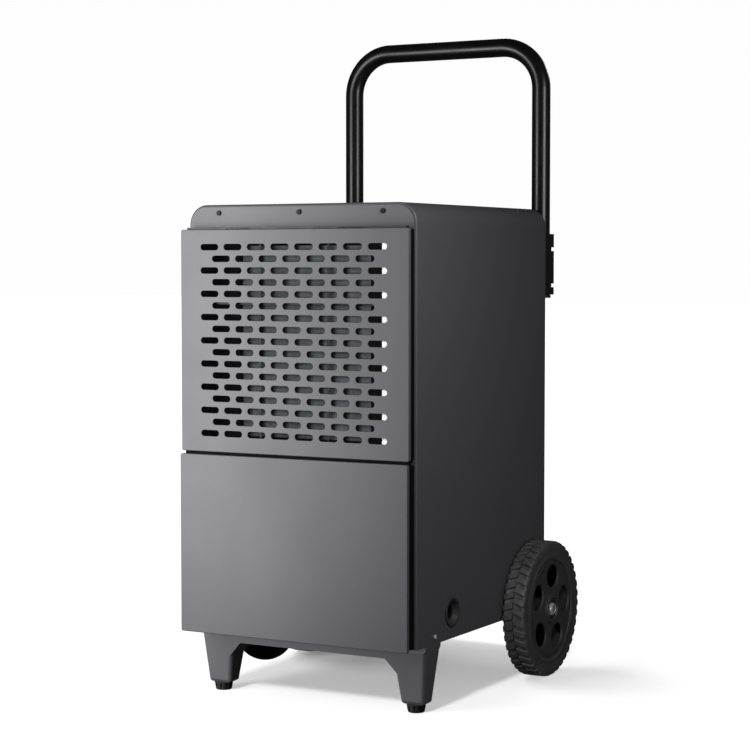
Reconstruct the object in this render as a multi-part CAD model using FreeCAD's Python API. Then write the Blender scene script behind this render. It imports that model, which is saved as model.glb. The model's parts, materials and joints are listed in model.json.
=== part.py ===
"""Commercial dehumidifier on two rear wheels and two front legs, with a pull-up handle.

Millimetres, +Z up, the front faces -Y and +X is the machine's side with the drain port.
Every y in this file is measured from the front edge of the cover; export() moves each
piece so that the origin is on the floor, in the middle of the whole machine's footprint.
"""
import FreeCAD, Part
import math
import os

# ---------------------------------------------------------------- driving dimensions
COVER_W = 365.0          # sheet cover: width, depth, lower and upper edge
COVER_D = 414.0
COVER_BOTTOM = 94.5
COVER_TOP = 697.5
COVER_R = 28.0           # radius of the two top corners
SHEET = 1.2
EDGE_R = 3.5             # bend along the cover's front edge
FLANGE = 20.0            # width of the inward flange behind the front frame

PANEL_T = 1.5            # front panels: sheet, return depth, corner radius
PANEL_RETURN = 5.0
PANEL_CORNER = 3.0
GRILLE_FACE = -21.6      # y of the grille panel's face
LOWER_FACE = -25.7       # y of the lower panel's face, a little prouder
PANEL_TOP = 662.5
SEAM_Z = 349.0
SEAM = 4.0
LOWER_BOTTOM = 93.9

SLOT_L = 29.6            # air slots: length, height, pitches, rows
SLOT_H = 9.0
SLOT_PITCH = 38.4
SLOT_ROW = 16.3
SLOT_ROWS = 17
SLOT_TOP_Z = 638.0
SLOT_COLS = 8            # in the odd rows; the even rows hold one fewer

WHEEL_R = 101.0          # 8 inch wheels
WHEEL_IN = 184.0         # x of the tyre's inner face
WHEEL_OUT = 219.0
AXLE_Y = 362.0
AXLE_R = 6.0
RIM_R = 74.0
HOLE_AT = 48.5           # five oval windows in the wheel centre: radius of their centres
HOLE_WIDE, HOLE_HIGH = 20.0, 16.5        # half sizes round the axle and towards it
HOLE_ANGLE = 81.5        # the first one, measured from the rear
NUT_X = WHEEL_OUT - 3.1  # the axle nut's inner face

LEG_X = 157.8            # front legs
LEG_Y = 46.5
FOOT_H = 11.5
SKIRT_Z = 73.0           # lower edge of the bar between the legs
BAR_Y0, BAR_Y1 = 27.0, 70.5

PAN_Z = 109.0            # underside of the base pan's deck
PAN_T = 1.5
DECK = PAN_Z + PAN_T

TUBE_R = 14.0            # handle tube
TUBE_X = 163.0
TUBE_Y = 438.8
BAR_Z = 945.0            # centre line of the grip, handle pulled up
HANDLE_BEND = 64.0
BRACKET_Z0, BRACKET_Z1 = 568.0, 660.0
TUBE_END = 570.0         # lower end of the legs, handle pulled up

SPOUT_X = 60.0           # the drip tray's spout over the tank
SHELF_Z = 344.0          # shelf between the cold compartment and the machine room
COIL_X = 104.0           # half width of the finned blocks
COIL_Z0, COIL_Z1 = 372.0, 640.0
COIL_T = 44.0
EVAPORATOR_Y = 20.0
CONDENSER_Y = 74.0
FIN_T, FIN_PITCH = 2.0, 8.24
COIL_TUBE_R = 4.75
COIL_TUBE_PITCH = 24.0
COIL_TUBES = 10          # per row, two rows deep

FAN_Z = 508.0
FAN_Y = 144.0            # back face of the shroud plate
FAN_R = 114.0

TANK_X = 150.0           # water tank
TANK_Y0, TANK_Y1 = 214.0, 413.4
TANK_Z0, TANK_Z1 = 113.0, 330.0
TANK_WALL = 3.0

PORT_Y, PORT_Z = 105.0, 132.0    # drain port
PORT_BORE = 8.0
GLAND_X, GLAND_Z = 167.0, 160.0  # mains cable gland
GLAND_BORE = 4.5

OUTLET_X = 114.0         # half width of the rear air outlet
TOP_X, TOP_Y0, TOP_Y1 = 88.0, 58.0, 142.0   # control panel cut-out in the cover's top
BUTTON_R = 8.0
BUTTON_Y = 100.0
BUTTON_X = {"button_power": 72.0, "button_mode": 48.0, "button_up": 24.0, "button_down": 0.0}

SUMP_X, SUMP_Y = -132.0, 118.0   # round sump under the base pan
SUMP_R = 44.0
SUMP_BOTTOM = 33.0

SCREW_R = 2.0
STRIP_SCREWS = [(x, 685.8) for x in (-131.4, 0.0, 131.4)]
SIDE_SCREWS = [(54.0, 104.7)]
REAR_SCREWS = [(s * 174.0, z) for s in (-1, 1) for z in (125.0, 358.0, 540.0)]
REAR_SCREWS += [(-80.0, 686.0), (80.0, 686.0)]
BRACKET_SCREWS = [(s * 134.0, z) for s in (-1, 1) for z in (592.0, 637.0)]
LEG_SCREW_X = 60.0       # inner screws of the leg bar; the outer ones are over the feet

FILTER_X = 175.5         # filter frame: half width, front and back, foot and top
FILTER_Y0, FILTER_Y1 = -16.0, -8.0
FILTER_Z0, FILTER_Z1 = 359.0, 665.5
NET_X, NET_Z0, NET_Z1 = 163.0, 369.0, 655.0    # the net's window
NET_T, RIB_T = 0.8, 1.2  # the net, and the thin ribs that carry it from behind
WINDOW_X = 150.0         # openings in the front frame: half width, upper and lower heights
UPPER_WINDOW = (366.0, 655.0)
LOWER_WINDOW = (125.0, 330.0)

INNER_X = COVER_W / 2 - SHEET - 0.3      # half width of what stands inside the cover
INNER_Y0 = 3.6
INNER_Y1 = COVER_D - SHEET - 0.5

COMP_X, COMP_Y = 68.0, 100.0             # compressor and its suction accumulator
COMP_BASE = 118.0
COMP_FOOT_R = 62.0
ACCUMULATOR_X = COMP_X - 84.0
PIPE_Y = 134.5           # both pipes go up through the shelf here
DISCHARGE_X = COMP_X + 28.0
HOSE_X = 140.0           # drain hose's upright run

FLOAT_Y, FLOAT_Z = 239.0, 305.0          # the float arm's pivot
FLOAT_X = (-112.0, -52.0)                # its two ears in the tank

# the machine's depth runs from the lower panel's face to the back of the wheels
DEPTH = AXLE_Y + WHEEL_R - LOWER_FACE
ORIGIN_Y = -(LOWER_FACE + DEPTH / 2)

V = FreeCAD.Vector
X, Y, Z = V(1, 0, 0), V(0, 1, 0), V(0, 0, 1)


# ---------------------------------------------------------------- helpers
def export(shape, node):
    """Move a finished piece into the part's frame and write it."""
    shape = shape.copy()
    shape.translate(V(0, ORIGIN_Y, 0))
    if not shape.isValid():
        raise RuntimeError(node + " isn't a valid shape")
    shape.exportStep("parts/" + node + ".step")


def box(x0, x1, y0, y1, z0, z1):
    return Part.makeBox(x1 - x0, y1 - y0, z1 - z0, V(x0, y0, z0))


def along(shape, axis):
    """The shape's straight edges that run along an axis."""
    return [e for e in shape.Edges if e.tangentAt(e.FirstParameter).cross(axis).Length < 1e-6]


def mirrored(shape):
    return shape.mirror(V(0, 0, 0), X)


def cyl(r, start, length, axis):
    return Part.makeCylinder(r, length, V(*start), axis)


def fused(shapes):
    whole = shapes[0].multiFuse(shapes[1:]) if len(shapes) > 1 else shapes[0]
    return whole.removeSplitter()


def prism(points, direction):
    """A straight-sided outline given as 3-D points, extruded along a vector."""
    ring = [V(*p) for p in points]
    return Part.Face(Part.makePolygon(ring + ring[:1])).extrude(direction)


def rounded(x0, x1, z0, z1, r, y0, y1):
    """Plate standing in XZ with all four corners rounded."""
    plate = box(x0, x1, y0, y1, z0, z1)
    return plate.makeFillet(r, along(plate, Y))


def arch(inset, bottom, y0, y1):
    """The cover's outline with its two rounded top corners, moved in by inset."""
    half = COVER_W / 2 - inset
    plate = box(-half, half, y0, y1, bottom, COVER_TOP - inset)
    tops = [e for e in along(plate, Y) if e.CenterOfMass.z > bottom + 1]
    return plate.makeFillet(COVER_R - inset, tops)


def slot_xz(x, z, length, height, y0, y1):
    """Round-ended slot lying along X, cut through from y0 to y1."""
    reach = (length - height) / 2
    body = box(x - reach, x + reach, y0, y1, z - height / 2, z + height / 2)
    ends = [cyl(height / 2, (x + s * reach, y0, z), y1 - y0, Y) for s in (-1, 1)]
    return fused([body] + ends)


def revolve_x(profile, x=0.0):
    """Turn a closed (x, radius) outline about the axle line."""
    ring = [V(x + px, AXLE_Y, WHEEL_R + pr) for px, pr in profile]
    face = Part.Face(Part.makePolygon(ring + ring[:1]))
    return face.revolve(V(0, AXLE_Y, WHEEL_R), X, 360)


def revolve_z(profile, x, y):
    """Turn a closed (radius, z) outline about an upright axis."""
    ring = [V(x + r, y, z) for r, z in profile]
    return Part.Face(Part.makePolygon(ring + ring[:1])).revolve(V(x, y, 0), Z, 360)


def bent_tube(points, r, bend):
    """Round bar along straight runs joined by tangent arcs of radius bend."""
    pts = [V(*p) for p in points]
    edges, start = [], pts[0]
    for before, corner, after in zip(pts, pts[1:], pts[2:]):
        a = (before - corner).normalize()
        b = (after - corner).normalize()
        half = a.getAngle(b) / 2
        cut = bend / math.tan(half)
        first, last = corner + a * cut, corner + b * cut
        middle = corner + (a + b).normalize() * (bend / math.sin(half) - bend)
        edges.append(Part.LineSegment(start, first).toShape())
        edges.append(Part.Arc(first, middle, last).toShape())
        start = last
    edges.append(Part.LineSegment(start, pts[-1]).toShape())
    ring = Part.Wire(Part.Circle(pts[0], pts[1] - pts[0], r).toShape())
    return Part.Wire(edges).makePipeShell([ring], True, True)


def screw(x, y, z, out, head_r, head_h, shank):
    """Pan head screw; out points from the seat towards the head."""
    head = Part.makeCylinder(head_r, head_h, V(x, y, z), out)
    rim = [e for e in head.Edges if (e.CenterOfMass - V(x, y, z)).dot(out) > head_h - 0.01]
    head = head.makeFillet(head_h * 0.45, rim[:1])
    recess = [box(-1, 1, -0.35, 0.35, 0, 1.2), box(-0.35, 0.35, -1, 1, 0, 1.2)]
    cross = fused(recess)
    cross.Placement = FreeCAD.Placement(V(x, y, z) + out * (head_h - 1.0), FreeCAD.Rotation(Z, out))
    return head.cut(cross).fuse(Part.makeCylinder(SCREW_R, shank, V(x, y, z), out * -1))


def holes(places, axis_y, depth):
    return [cyl(SCREW_R + 0.05, (x, axis_y, z), depth, Y) for x, z in places]


# ---------------------------------------------------------------- sheet metal
def cover():
    """Sides and top in one bent sheet, with an inward flange round its front edge."""
    def front_bend(plate, r):
        edges = [e for e in plate.Edges if all(abs(v.Y) < 1e-6 for v in e.Vertexes)
                 and e.CenterOfMass.z > COVER_BOTTOM + 1]
        return plate.makeFillet(r, edges)
    outer = front_bend(arch(0, COVER_BOTTOM, 0, COVER_D), EDGE_R)
    inner = front_bend(arch(SHEET, COVER_BOTTOM - 1, 0, COVER_D + 1), EDGE_R - SHEET)
    inner.translate(V(0, SHEET, 0))
    shell = outer.cut(inner).cut(arch(FLANGE, COVER_BOTTOM - 1, -1, SHEET + 1))
    half = COVER_W / 2
    cuts = [box(-half - 1, half + 1, AXLE_Y - 7, AXLE_Y + 7, COVER_BOTTOM - 1, WHEEL_R),
            cyl(7, (-half - 1, AXLE_Y, WHEEL_R), COVER_W + 2, X),
            cyl(17, (half - 5, PORT_Y, PORT_Z), 10, X),
            box(-TOP_X, TOP_X, TOP_Y0, TOP_Y1, COVER_TOP - 5, COVER_TOP + 5)]
    cuts += holes(STRIP_SCREWS, -1, 4)
    cuts += [cyl(SCREW_R + 0.05, (-half - 1, y, z), COVER_W + 2, X) for y, z in SIDE_SCREWS]
    return shell.cut(cuts)


def front_frame():
    """Flat plate in front of the cover's flange; its top strip stays in view."""
    plate = arch(EDGE_R, COVER_BOTTOM, -SHEET, 0)
    upper = rounded(-WINDOW_X, WINDOW_X, *UPPER_WINDOW, 8, -SHEET - 1, 1)
    lower = rounded(-WINDOW_X, WINDOW_X, *LOWER_WINDOW, 8, -SHEET - 1, 1)
    return plate.cut([upper, lower] + holes(STRIP_SCREWS, -3, 4))


def front_panel(z0, z1, face):
    """Shallow pressed pan with rounded corners and short returns."""
    half = COVER_W / 2
    outer = rounded(-half, half, z0, z1, PANEL_CORNER, face, face + PANEL_RETURN)
    rim = [e for e in outer.Edges if all(abs(v.Y - face) < 1e-6 for v in e.Vertexes)]
    outer = outer.makeFillet(1.2, rim)
    inner = rounded(-half + PANEL_T, half - PANEL_T, z0 + PANEL_T, z1 - PANEL_T, PANEL_CORNER - PANEL_T,
                    face + PANEL_T, face + PANEL_RETURN + 1)
    return outer.cut(inner)


def slot_places():
    """Centres of the staggered air slots, rows of eight and seven in turn."""
    places = []
    for row in range(SLOT_ROWS):
        count = SLOT_COLS - row % 2
        for col in range(count):
            places.append(((col - (count - 1) / 2) * SLOT_PITCH, SLOT_TOP_Z - row * SLOT_ROW))
    return places


def grille_panel():
    panel = front_panel(SEAM_Z + SEAM / 2, PANEL_TOP, GRILLE_FACE)
    slots = [slot_xz(x, z, SLOT_L, SLOT_H, GRILLE_FACE - 1, GRILLE_FACE + 3) for x, z in slot_places()]
    return panel.cut(slots)


def lower_panel():
    return front_panel(LOWER_BOTTOM, SEAM_Z - SEAM / 2, LOWER_FACE)


def filter_carrier():
    """Black frame between the grille panel and the front frame, open at its top for the filter."""
    half = COVER_W / 2 - 3.0
    back, front = -SHEET, GRILLE_FACE + PANEL_T
    z0 = SEAM_Z + SEAM / 2 + 2.0
    body = box(-half, half, front, back, z0, PANEL_TOP - 2.0)
    gap = 0.4
    groove = box(-FILTER_X - gap, FILTER_X + gap, FILTER_Y0 - gap, FILTER_Y1 + gap,
                 FILTER_Z0 - gap, PANEL_TOP)
    window = box(-164, 164, front - 1, back + 1, 367, PANEL_TOP)
    return body.cut([groove, window])


def lower_spacer():
    """Black frame that carries the lower panel clear of the front frame."""
    half = COVER_W / 2 - 3.0
    body = box(-half, half, LOWER_FACE + PANEL_T, -SHEET, LOWER_BOTTOM + 3, SEAM_Z - SEAM / 2 - 2)
    window = box(-half + 12, half - 12, LOWER_FACE, 0, LOWER_BOTTOM + 20, SEAM_Z - 18)
    return body.cut(window)


def filter_frame():
    outer = box(-FILTER_X, FILTER_X, FILTER_Y0, FILTER_Y1, FILTER_Z0, FILTER_Z1)
    window = box(-NET_X, NET_X, FILTER_Y0 - 1, FILTER_Y1 + 1, NET_Z0, NET_Z1)
    tabs = [box(x - 20, x + 20, FILTER_Y0 - 1, FILTER_Y0 + 3, FILTER_Z1 - 8, FILTER_Z1 - 2)
            for x in (-90, 90)]
    back, front = FILTER_Y0 + NET_T + RIB_T, FILTER_Y0 + NET_T
    ribs = [box(x - 1.5, x + 1.5, front, back, NET_Z0, NET_Z1) for x in (-54.5, 54.5)]
    ribs += [box(-NET_X, NET_X, front, back, z - 1.5, z + 1.5) for z in (464.5, 559.5)]
    return fused([outer.cut([window] + tabs)] + ribs)


def filter_mesh():
    """The net itself, a thin sheet flush with the frame's front, in front of its ribs."""
    return box(-NET_X, NET_X, FILTER_Y0, FILTER_Y0 + NET_T, NET_Z0, NET_Z1)


def base_pan():
    """Deck with its edges turned down; the axle passes through the side flanges."""
    half, y0, y1 = INNER_X, INNER_Y0, INNER_Y1
    outer = box(-half, half, y0, y1, COVER_BOTTOM + 0.5, DECK)
    inner = box(-half + PAN_T, half - PAN_T, y0 + PAN_T, y1 - PAN_T, COVER_BOTTOM - 1, PAN_Z)
    cuts = [inner, cyl(AXLE_R + 0.1, (-half - 1, AXLE_Y, WHEEL_R), 2 * half + 2, X),
            cyl(SUMP_R - 6, (SUMP_X, SUMP_Y, PAN_Z - 1), 5, Z)]
    cuts += [cyl(SCREW_R + 0.05, (-half - 1, y, z), 2 * half + 2, X) for y, z in SIDE_SCREWS]
    cuts += [cyl(SCREW_R + 0.05, (x, y, PAN_Z - 1), 5, Z) for x, y in leg_screw_places()]
    runners = [box(s * 110 - 15, s * 110 + 15, 212, 408, DECK - 0.5, TANK_Z0 - 0.3) for s in (-1, 1)]
    return fused([outer.cut(cuts)] + runners)


def mid_shelf():
    plate = box(-INNER_X, INNER_X, INNER_Y0, INNER_Y1, SHELF_Z, SHELF_Z + PAN_T)
    lip = box(INNER_X - 1.2, INNER_X, INNER_Y0, INNER_Y1, SHELF_Z, SHELF_Z + 12)
    cuts = [cyl(9, (HOSE_X, PORT_Y, SHELF_Z - 1), 5, Z),
            box(SPOUT_X - 16, SPOUT_X + 16, 222, 246, SHELF_Z - 1, SHELF_Z + 5)]
    cuts += [cyl(5, (x, PIPE_Y, SHELF_Z - 1), 5, Z) for x in (DISCHARGE_X, ACCUMULATOR_X)]
    return fused([plate, lip, mirrored(lip)]).cut(cuts)


def rear_panel():
    plate = arch(SHEET + 0.2, COVER_BOTTOM + 0.5, COVER_D - SHEET, COVER_D)
    cuts = [rounded(-OUTLET_X, OUTLET_X, 385, 632, 6, COVER_D - 3, COVER_D + 1),
            rounded(-TANK_X - 2, TANK_X + 2, DECK, TANK_Z1 + 2, 6, COVER_D - 3, COVER_D + 1),
            cyl(8.05, (GLAND_X, COVER_D - 3, GLAND_Z), 5, Y)]
    return plate.cut(cuts + holes(REAR_SCREWS + BRACKET_SCREWS, COVER_D - 3, 5))


def outlet_grille():
    """Plastic air outlet with rows of slots, let into the rear panel."""
    y = COVER_D
    x = OUTLET_X
    frame = fused([rounded(0.3 - x, x - 0.3, 385.3, 631.7, 5.7, y - 6, y + 1),
                   rounded(-x - 6, x + 6, 379, 638, 9, y, y + 2.5)])
    cuts = [box(5 - x, x - 5, y - 7, y - 1.5, 391, 626)]
    for row in range(17):
        for col in (-1.5, -0.5, 0.5, 1.5):
            cuts.append(slot_xz(col * 53.0, 402 + row * 13.3, 46, 7.5, y - 3, y + 3))
    return frame.cut(cuts)


# ---------------------------------------------------------------- legs and feet
def leg_screw_places():
    return [(s * x, LEG_Y) for s in (-1, 1) for x in (LEG_SCREW_X, LEG_X)]


def front_leg_bar():
    """Bar under the front edge with two tapered legs, braced by a chamfer where they meet it."""
    half = COVER_W / 2 + 0.5
    front = [(half, COVER_BOTTOM), (half, 85), (176.8, 15.5), (171.5, FOOT_H), (144.1, FOOT_H),
             (138.2, 15.5), (132.8, 57), (118, SKIRT_Z)]
    outline = front + [(-x, z) for x, z in reversed(front)]
    solid = prism([(x, BAR_Y0 - 5, z) for x, z in outline], V(0, 60, 0))
    side = [(BAR_Y0, COVER_BOTTOM), (BAR_Y0, 85), (35, 15.5), (38, FOOT_H), (56, FOOT_H),
            (60.5, 15.5), (BAR_Y1, 85), (BAR_Y1, COVER_BOTTOM)]
    solid = solid.common(prism([(-200, y, z) for y, z in side], V(400, 0, 0)))
    upright = [e for e in solid.Edges if e.BoundBox.ZLength > 15 and abs(e.CenterOfMass.x) > 130]
    solid = solid.makeFillet(6.5, upright)
    # hollow from above, leaving the walls and the two feet solid enough for their studs
    hollow = box(-112, 112, BAR_Y0 + 3, BAR_Y1 - 3, SKIRT_Z + 3, COVER_BOTTOM + 1)
    wells = []
    for s in (-1, 1):
        top = Part.makePolygon([V(s * LEG_X + x, y, COVER_BOTTOM + 1) for x, y in
                                ((-21, 31), (20, 31), (20, 66), (-21, 66), (-21, 31))])
        low = Part.makePolygon([V(s * LEG_X + x, y, 30) for x, y in
                                ((-13, 40), (13, 40), (13, 53), (-13, 53), (-13, 40))])
        wells.append(Part.makeLoft([top, low], True))
    solid = solid.cut([hollow] + wells)
    bosses = []
    for x, y in leg_screw_places():
        foot = 28.0 if abs(x) > LEG_SCREW_X else SKIRT_Z + 1
        bosses.append(cyl(7, (x, y, foot), PAN_Z - foot, Z))
    solid = fused([solid] + bosses)
    cuts = [cyl(SCREW_R + 0.05, (x, y, PAN_Z - 12), 20, Z) for x, y in leg_screw_places()]
    cuts += [cyl(4.05, (s * LEG_X, LEG_Y, FOOT_H - 1), 11, Z) for s in (-1, 1)]
    return solid.cut(cuts)


def rubber_foot(side):
    """Fluted rubber foot with its moulded stud."""
    outline = [(0, 0), (10.5, 0), (11.7, 1), (13.4, FOOT_H - 1), (13.4, FOOT_H), (0, FOOT_H)]
    pad = revolve_z(outline, side * LEG_X, LEG_Y)
    flutes = []
    for step in range(10):
        angle = math.radians(36 * step)
        flutes.append(cyl(2.2, (side * LEG_X + 12.9 * math.cos(angle), LEG_Y + 12.9 * math.sin(angle), -1),
                          FOOT_H - 1, Z))
    return fused([pad.cut(flutes), cyl(4, (side * LEG_X, LEG_Y, FOOT_H - 0.5), 9.5, Z)])


def sump():
    """Black moulded sump with a round bottom, hung through the base pan to collect condensate."""
    def bowl(r, top):
        ball = Part.makeSphere(r, V(SUMP_X, SUMP_Y, SUMP_BOTTOM + SUMP_R))
        lower = ball.common(box(SUMP_X - r, SUMP_X + r, SUMP_Y - r, SUMP_Y + r, 0, SUMP_BOTTOM + SUMP_R))
        return lower.fuse(cyl(r, (SUMP_X, SUMP_Y, SUMP_BOTTOM + SUMP_R), top - SUMP_BOTTOM - SUMP_R, Z))
    flange = cyl(46.5, (SUMP_X, SUMP_Y, PAN_Z - 3), 3, Z)
    return fused([bowl(SUMP_R, PAN_Z), flange]).cut(bowl(SUMP_R - 2.5, PAN_Z + 1))


# ---------------------------------------------------------------- wheels
def tyre():
    mid = (WHEEL_IN + WHEEL_OUT) / 2
    half = (WHEEL_OUT - WHEEL_IN) / 2
    outline = [(-half, RIM_R), (-half, 97), (-half + 1, 99.3), (-half + 3.5, WHEEL_R)]
    outline += [(-x, r) for x, r in reversed(outline)]
    return revolve_x(outline, mid)


def rim():
    """Moulded wheel centre: barrel, web with five oval windows, closed back and recessed hub."""
    x0, x1 = WHEEL_IN + 1.5, WHEEL_OUT - 1.5
    barrel = revolve_x([(x0, 66), (x1, 66), (x1, 71), (x1 + 0.8, RIM_R), (x0 - 0.8, RIM_R), (x0, 71)])
    web = revolve_x([(x1 - 3.5, 12), (x1 + 0.5, 12), (x1 + 0.5, 67), (x1 - 3.5, 67)])
    inner, floor, lip = WHEEL_IN + 0.6, NUT_X - 1.8, NUT_X + 5.6
    hub = revolve_x([(inner, 9), (floor, 9), (floor, 16), (lip, 16), (lip, 20), (x1, 24), (inner, 22)])
    back = revolve_x([(WHEEL_IN + 6, 20), (WHEEL_IN + 9, 20), (WHEEL_IN + 9, 67), (WHEEL_IN + 6, 67)])
    body = fused([barrel, web, hub, back])
    windows = []
    for step in range(5):
        oval = Part.Wire(Part.Ellipse(V(0, 0, 0), HOLE_WIDE, HOLE_HIGH).toShape())
        window = Part.Face(oval).extrude(V(0, 0, WHEEL_OUT - WHEEL_IN))
        window.rotate(V(0, 0, 0), Z, 90)
        window.rotate(V(0, 0, 0), Y, 90)
        window.translate(V(WHEEL_IN + 12, 0, HOLE_AT))
        window.rotate(V(0, 0, 0), X, HOLE_ANGLE + 72 * step - 90)
        window.translate(V(0, AXLE_Y, WHEEL_R))
        windows.append(window)
    return body.cut(windows)


def bush():
    x0, x1 = WHEEL_IN + 0.6, NUT_X - 1.8
    return revolve_x([(x0, AXLE_R + 0.05), (x1, AXLE_R + 0.05), (x1, 9.0), (x0, 9.0)])


def axle():
    """Steel rod right across, with threaded ends for the nuts."""
    end = NUT_X + 6.5
    return cyl(AXLE_R, (-end, AXLE_Y, WHEEL_R), 2 * end, X)


def axle_washers():
    inner = revolve_x([(COVER_W / 2 + 0.3, AXLE_R + 0.05), (COVER_W / 2 + 1.8, AXLE_R + 0.05),
                       (COVER_W / 2 + 1.8, 12), (COVER_W / 2 + 0.3, 12)])
    x = NUT_X - 1.5
    outer = revolve_x([(x, AXLE_R + 0.05), (x + 1.5, AXLE_R + 0.05), (x + 1.5, 12), (x, 12)])
    return Part.makeCompound([inner, outer, mirrored(inner), mirrored(outer)])


def axle_nuts():
    """Hexagon lock nuts, 17 mm across flats, with a rounded collar."""
    x = NUT_X
    ring = [(x, AXLE_Y + 17 / math.sqrt(3) * math.cos(math.radians(60 * k)),
             WHEEL_R + 17 / math.sqrt(3) * math.sin(math.radians(60 * k))) for k in range(6)]
    nut = prism(ring, V(5.2, 0, 0)).common(
        revolve_x([(x - 1, 0), (x + 6, 0), (x + 6, 7.6), (x + 4, 9.9), (x, 9.9), (x - 1, 9.0)]))
    collar = revolve_x([(x + 5, 0), (x + 6.6, 0), (x + 7, 6.6), (x + 6.6, 7.4), (x + 5, 7.6)])
    nut = fused([nut, collar]).cut(cyl(AXLE_R + 0.02, (x - 1, AXLE_Y, WHEEL_R), 10, X))
    return Part.makeCompound([nut, mirrored(nut)])


def axle_bracket():
    """Block under the base pan that holds one end of the axle."""
    block = box(146, 176, AXLE_Y - 16, AXLE_Y + 16, COVER_BOTTOM - 2, PAN_Z)
    low = [e for e in along(block, X) if e.CenterOfMass.z < COVER_BOTTOM]
    return block.makeFillet(1.0, low).cut(cyl(AXLE_R + 0.05, (140, AXLE_Y, WHEEL_R), 40, X))


# ---------------------------------------------------------------- handle
def handle_tube():
    """Bent steel tube, 2 mm wall, open at both lower ends."""
    route = [(-TUBE_X, TUBE_Y, TUBE_END), (-TUBE_X, TUBE_Y, BAR_Z),
             (TUBE_X, TUBE_Y, BAR_Z), (TUBE_X, TUBE_Y, TUBE_END)]
    return bent_tube(route, TUBE_R, HANDLE_BEND).cut(bent_tube(route, TUBE_R - 2, HANDLE_BEND))


def handle_end_caps():
    """Plugs whose collars stop the legs at the lower edge of the brackets."""
    caps = []
    for s in (-1, 1):
        collar = cyl(15.5, (s * TUBE_X, TUBE_Y, TUBE_END - 7), 4.5, Z)
        neck = cyl(TUBE_R, (s * TUBE_X, TUBE_Y, TUBE_END - 3), 3, Z)
        plug = cyl(TUBE_R - 2.05, (s * TUBE_X, TUBE_Y, TUBE_END - 3), 18, Z)
        caps.append(fused([collar, neck, plug]))
    return Part.makeCompound(caps)


def handle_bracket():
    """Clamp block with its mounting ear; two grooves run round its outer side."""
    block = box(145, 181, COVER_D, TUBE_Y + 15.7, BRACKET_Z0, BRACKET_Z1)
    upright = [e for e in block.Edges if e.BoundBox.ZLength > 50 and e.CenterOfMass.y > 440]
    block = block.makeFillet(8.0, upright)
    ear = rounded(124, 150, BRACKET_Z0 + 6, BRACKET_Z1 - 6, 5, COVER_D, COVER_D + 6)
    block = fused([block, ear])
    cuts = [cyl(TUBE_R + 0.05, (TUBE_X, TUBE_Y, BRACKET_Z0 - 1), 110, Z)]
    core = box(154, 172, COVER_D - 1, TUBE_Y + 6.7, BRACKET_Z0, BRACKET_Z1).fuse(
        cyl(TUBE_R + 2.5, (TUBE_X, TUBE_Y, BRACKET_Z0), BRACKET_Z1 - BRACKET_Z0, Z))
    for z in (582.0, 637.0):
        groove = box(150.5, 190, COVER_D - 1, 460, z - 2.8, z + 2.8).cut(core)
        cuts.append(groove)
    cuts += [cyl(SCREW_R + 0.05, (x, COVER_D - 1, z), 10, Y) for x, z in BRACKET_SCREWS if x > 0]
    return block.cut(cuts)


# ---------------------------------------------------------------- cold compartment
def coil_rows(y0):
    z0 = COIL_Z0 + (COIL_Z1 - COIL_Z0 - (COIL_TUBES - 1) * COIL_TUBE_PITCH) / 2
    return [(y0 + y, [z0 + k * COIL_TUBE_PITCH for k in range(COIL_TUBES)]) for y in (11.0, 33.0)]


def coil_fins(y0):
    """The fin pack, one solid for every few of the real thin fins."""
    fin = box(-COIL_X, -COIL_X + FIN_T, y0, y0 + COIL_T, COIL_Z0, COIL_Z1)
    bores = [cyl(COIL_TUBE_R, (-COIL_X - 1, y, z), FIN_T + 2, X) for y, row in coil_rows(y0) for z in row]
    fin = fin.cut(bores)
    count = int((2 * COIL_X - FIN_T) / FIN_PITCH) + 1
    fins = []
    for k in range(count):
        fins.append(fin.translated(V(k * FIN_PITCH, 0, 0)))
    return Part.makeCompound(fins)


def coil_tubes(y0):
    """Two serpentines: straight tubes through the fins and the return bends at each end."""
    reach = COIL_X + 2.5
    solids = []
    for y, row in coil_rows(y0):
        pieces = [cyl(COIL_TUBE_R, (-reach, y, z), 2 * reach, X) for z in row]
        for k, (low, high) in enumerate(zip(row, row[1:])):
            side = 1 if k % 2 else -1
            bend = Part.makeTorus((high - low) / 2, COIL_TUBE_R, V(0, 0, 0), Z, -180, 180, 180)
            bend.rotate(V(0, 0, 0), X, 90)
            bend.rotate(V(0, 0, 0), Y, 90 if side > 0 else -90)
            bend.translate(V(side * reach, y, (low + high) / 2))
            pieces.append(bend)
        solids.append(fused(pieces))
    return solids


def coil_end_plates():
    """Bright steel plates that carry both coils at their ends."""
    plates = []
    for y0 in (EVAPORATOR_Y, CONDENSER_Y):
        plate = box(COIL_X, COIL_X + 1.2, y0, y0 + COIL_T, SHELF_Z + 4, COIL_Z1 + 6)
        bores = [cyl(COIL_TUBE_R, (COIL_X - 1, y, z), 5, X) for y, row in coil_rows(y0) for z in row]
        plate = plate.cut(bores)
        plates += [plate, mirrored(plate)]
    return Part.makeCompound(plates)


def coil_baffles():
    """Dark foam strips that close the gaps beside the evaporator."""
    left = box(-180, -COIL_X - 2, 12, 18, 370, 655)
    right = box(COIL_X + 2, 126.5, 12, 18, 370, 655)
    return Part.makeCompound([left, right])


def foam_liner():
    """White expanded foam duct wall on the drain side."""
    block = box(127, 180, 5, 125, 368.5, 655)
    return block.cut(box(132, 175, 10, 120, 374, 650))


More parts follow.
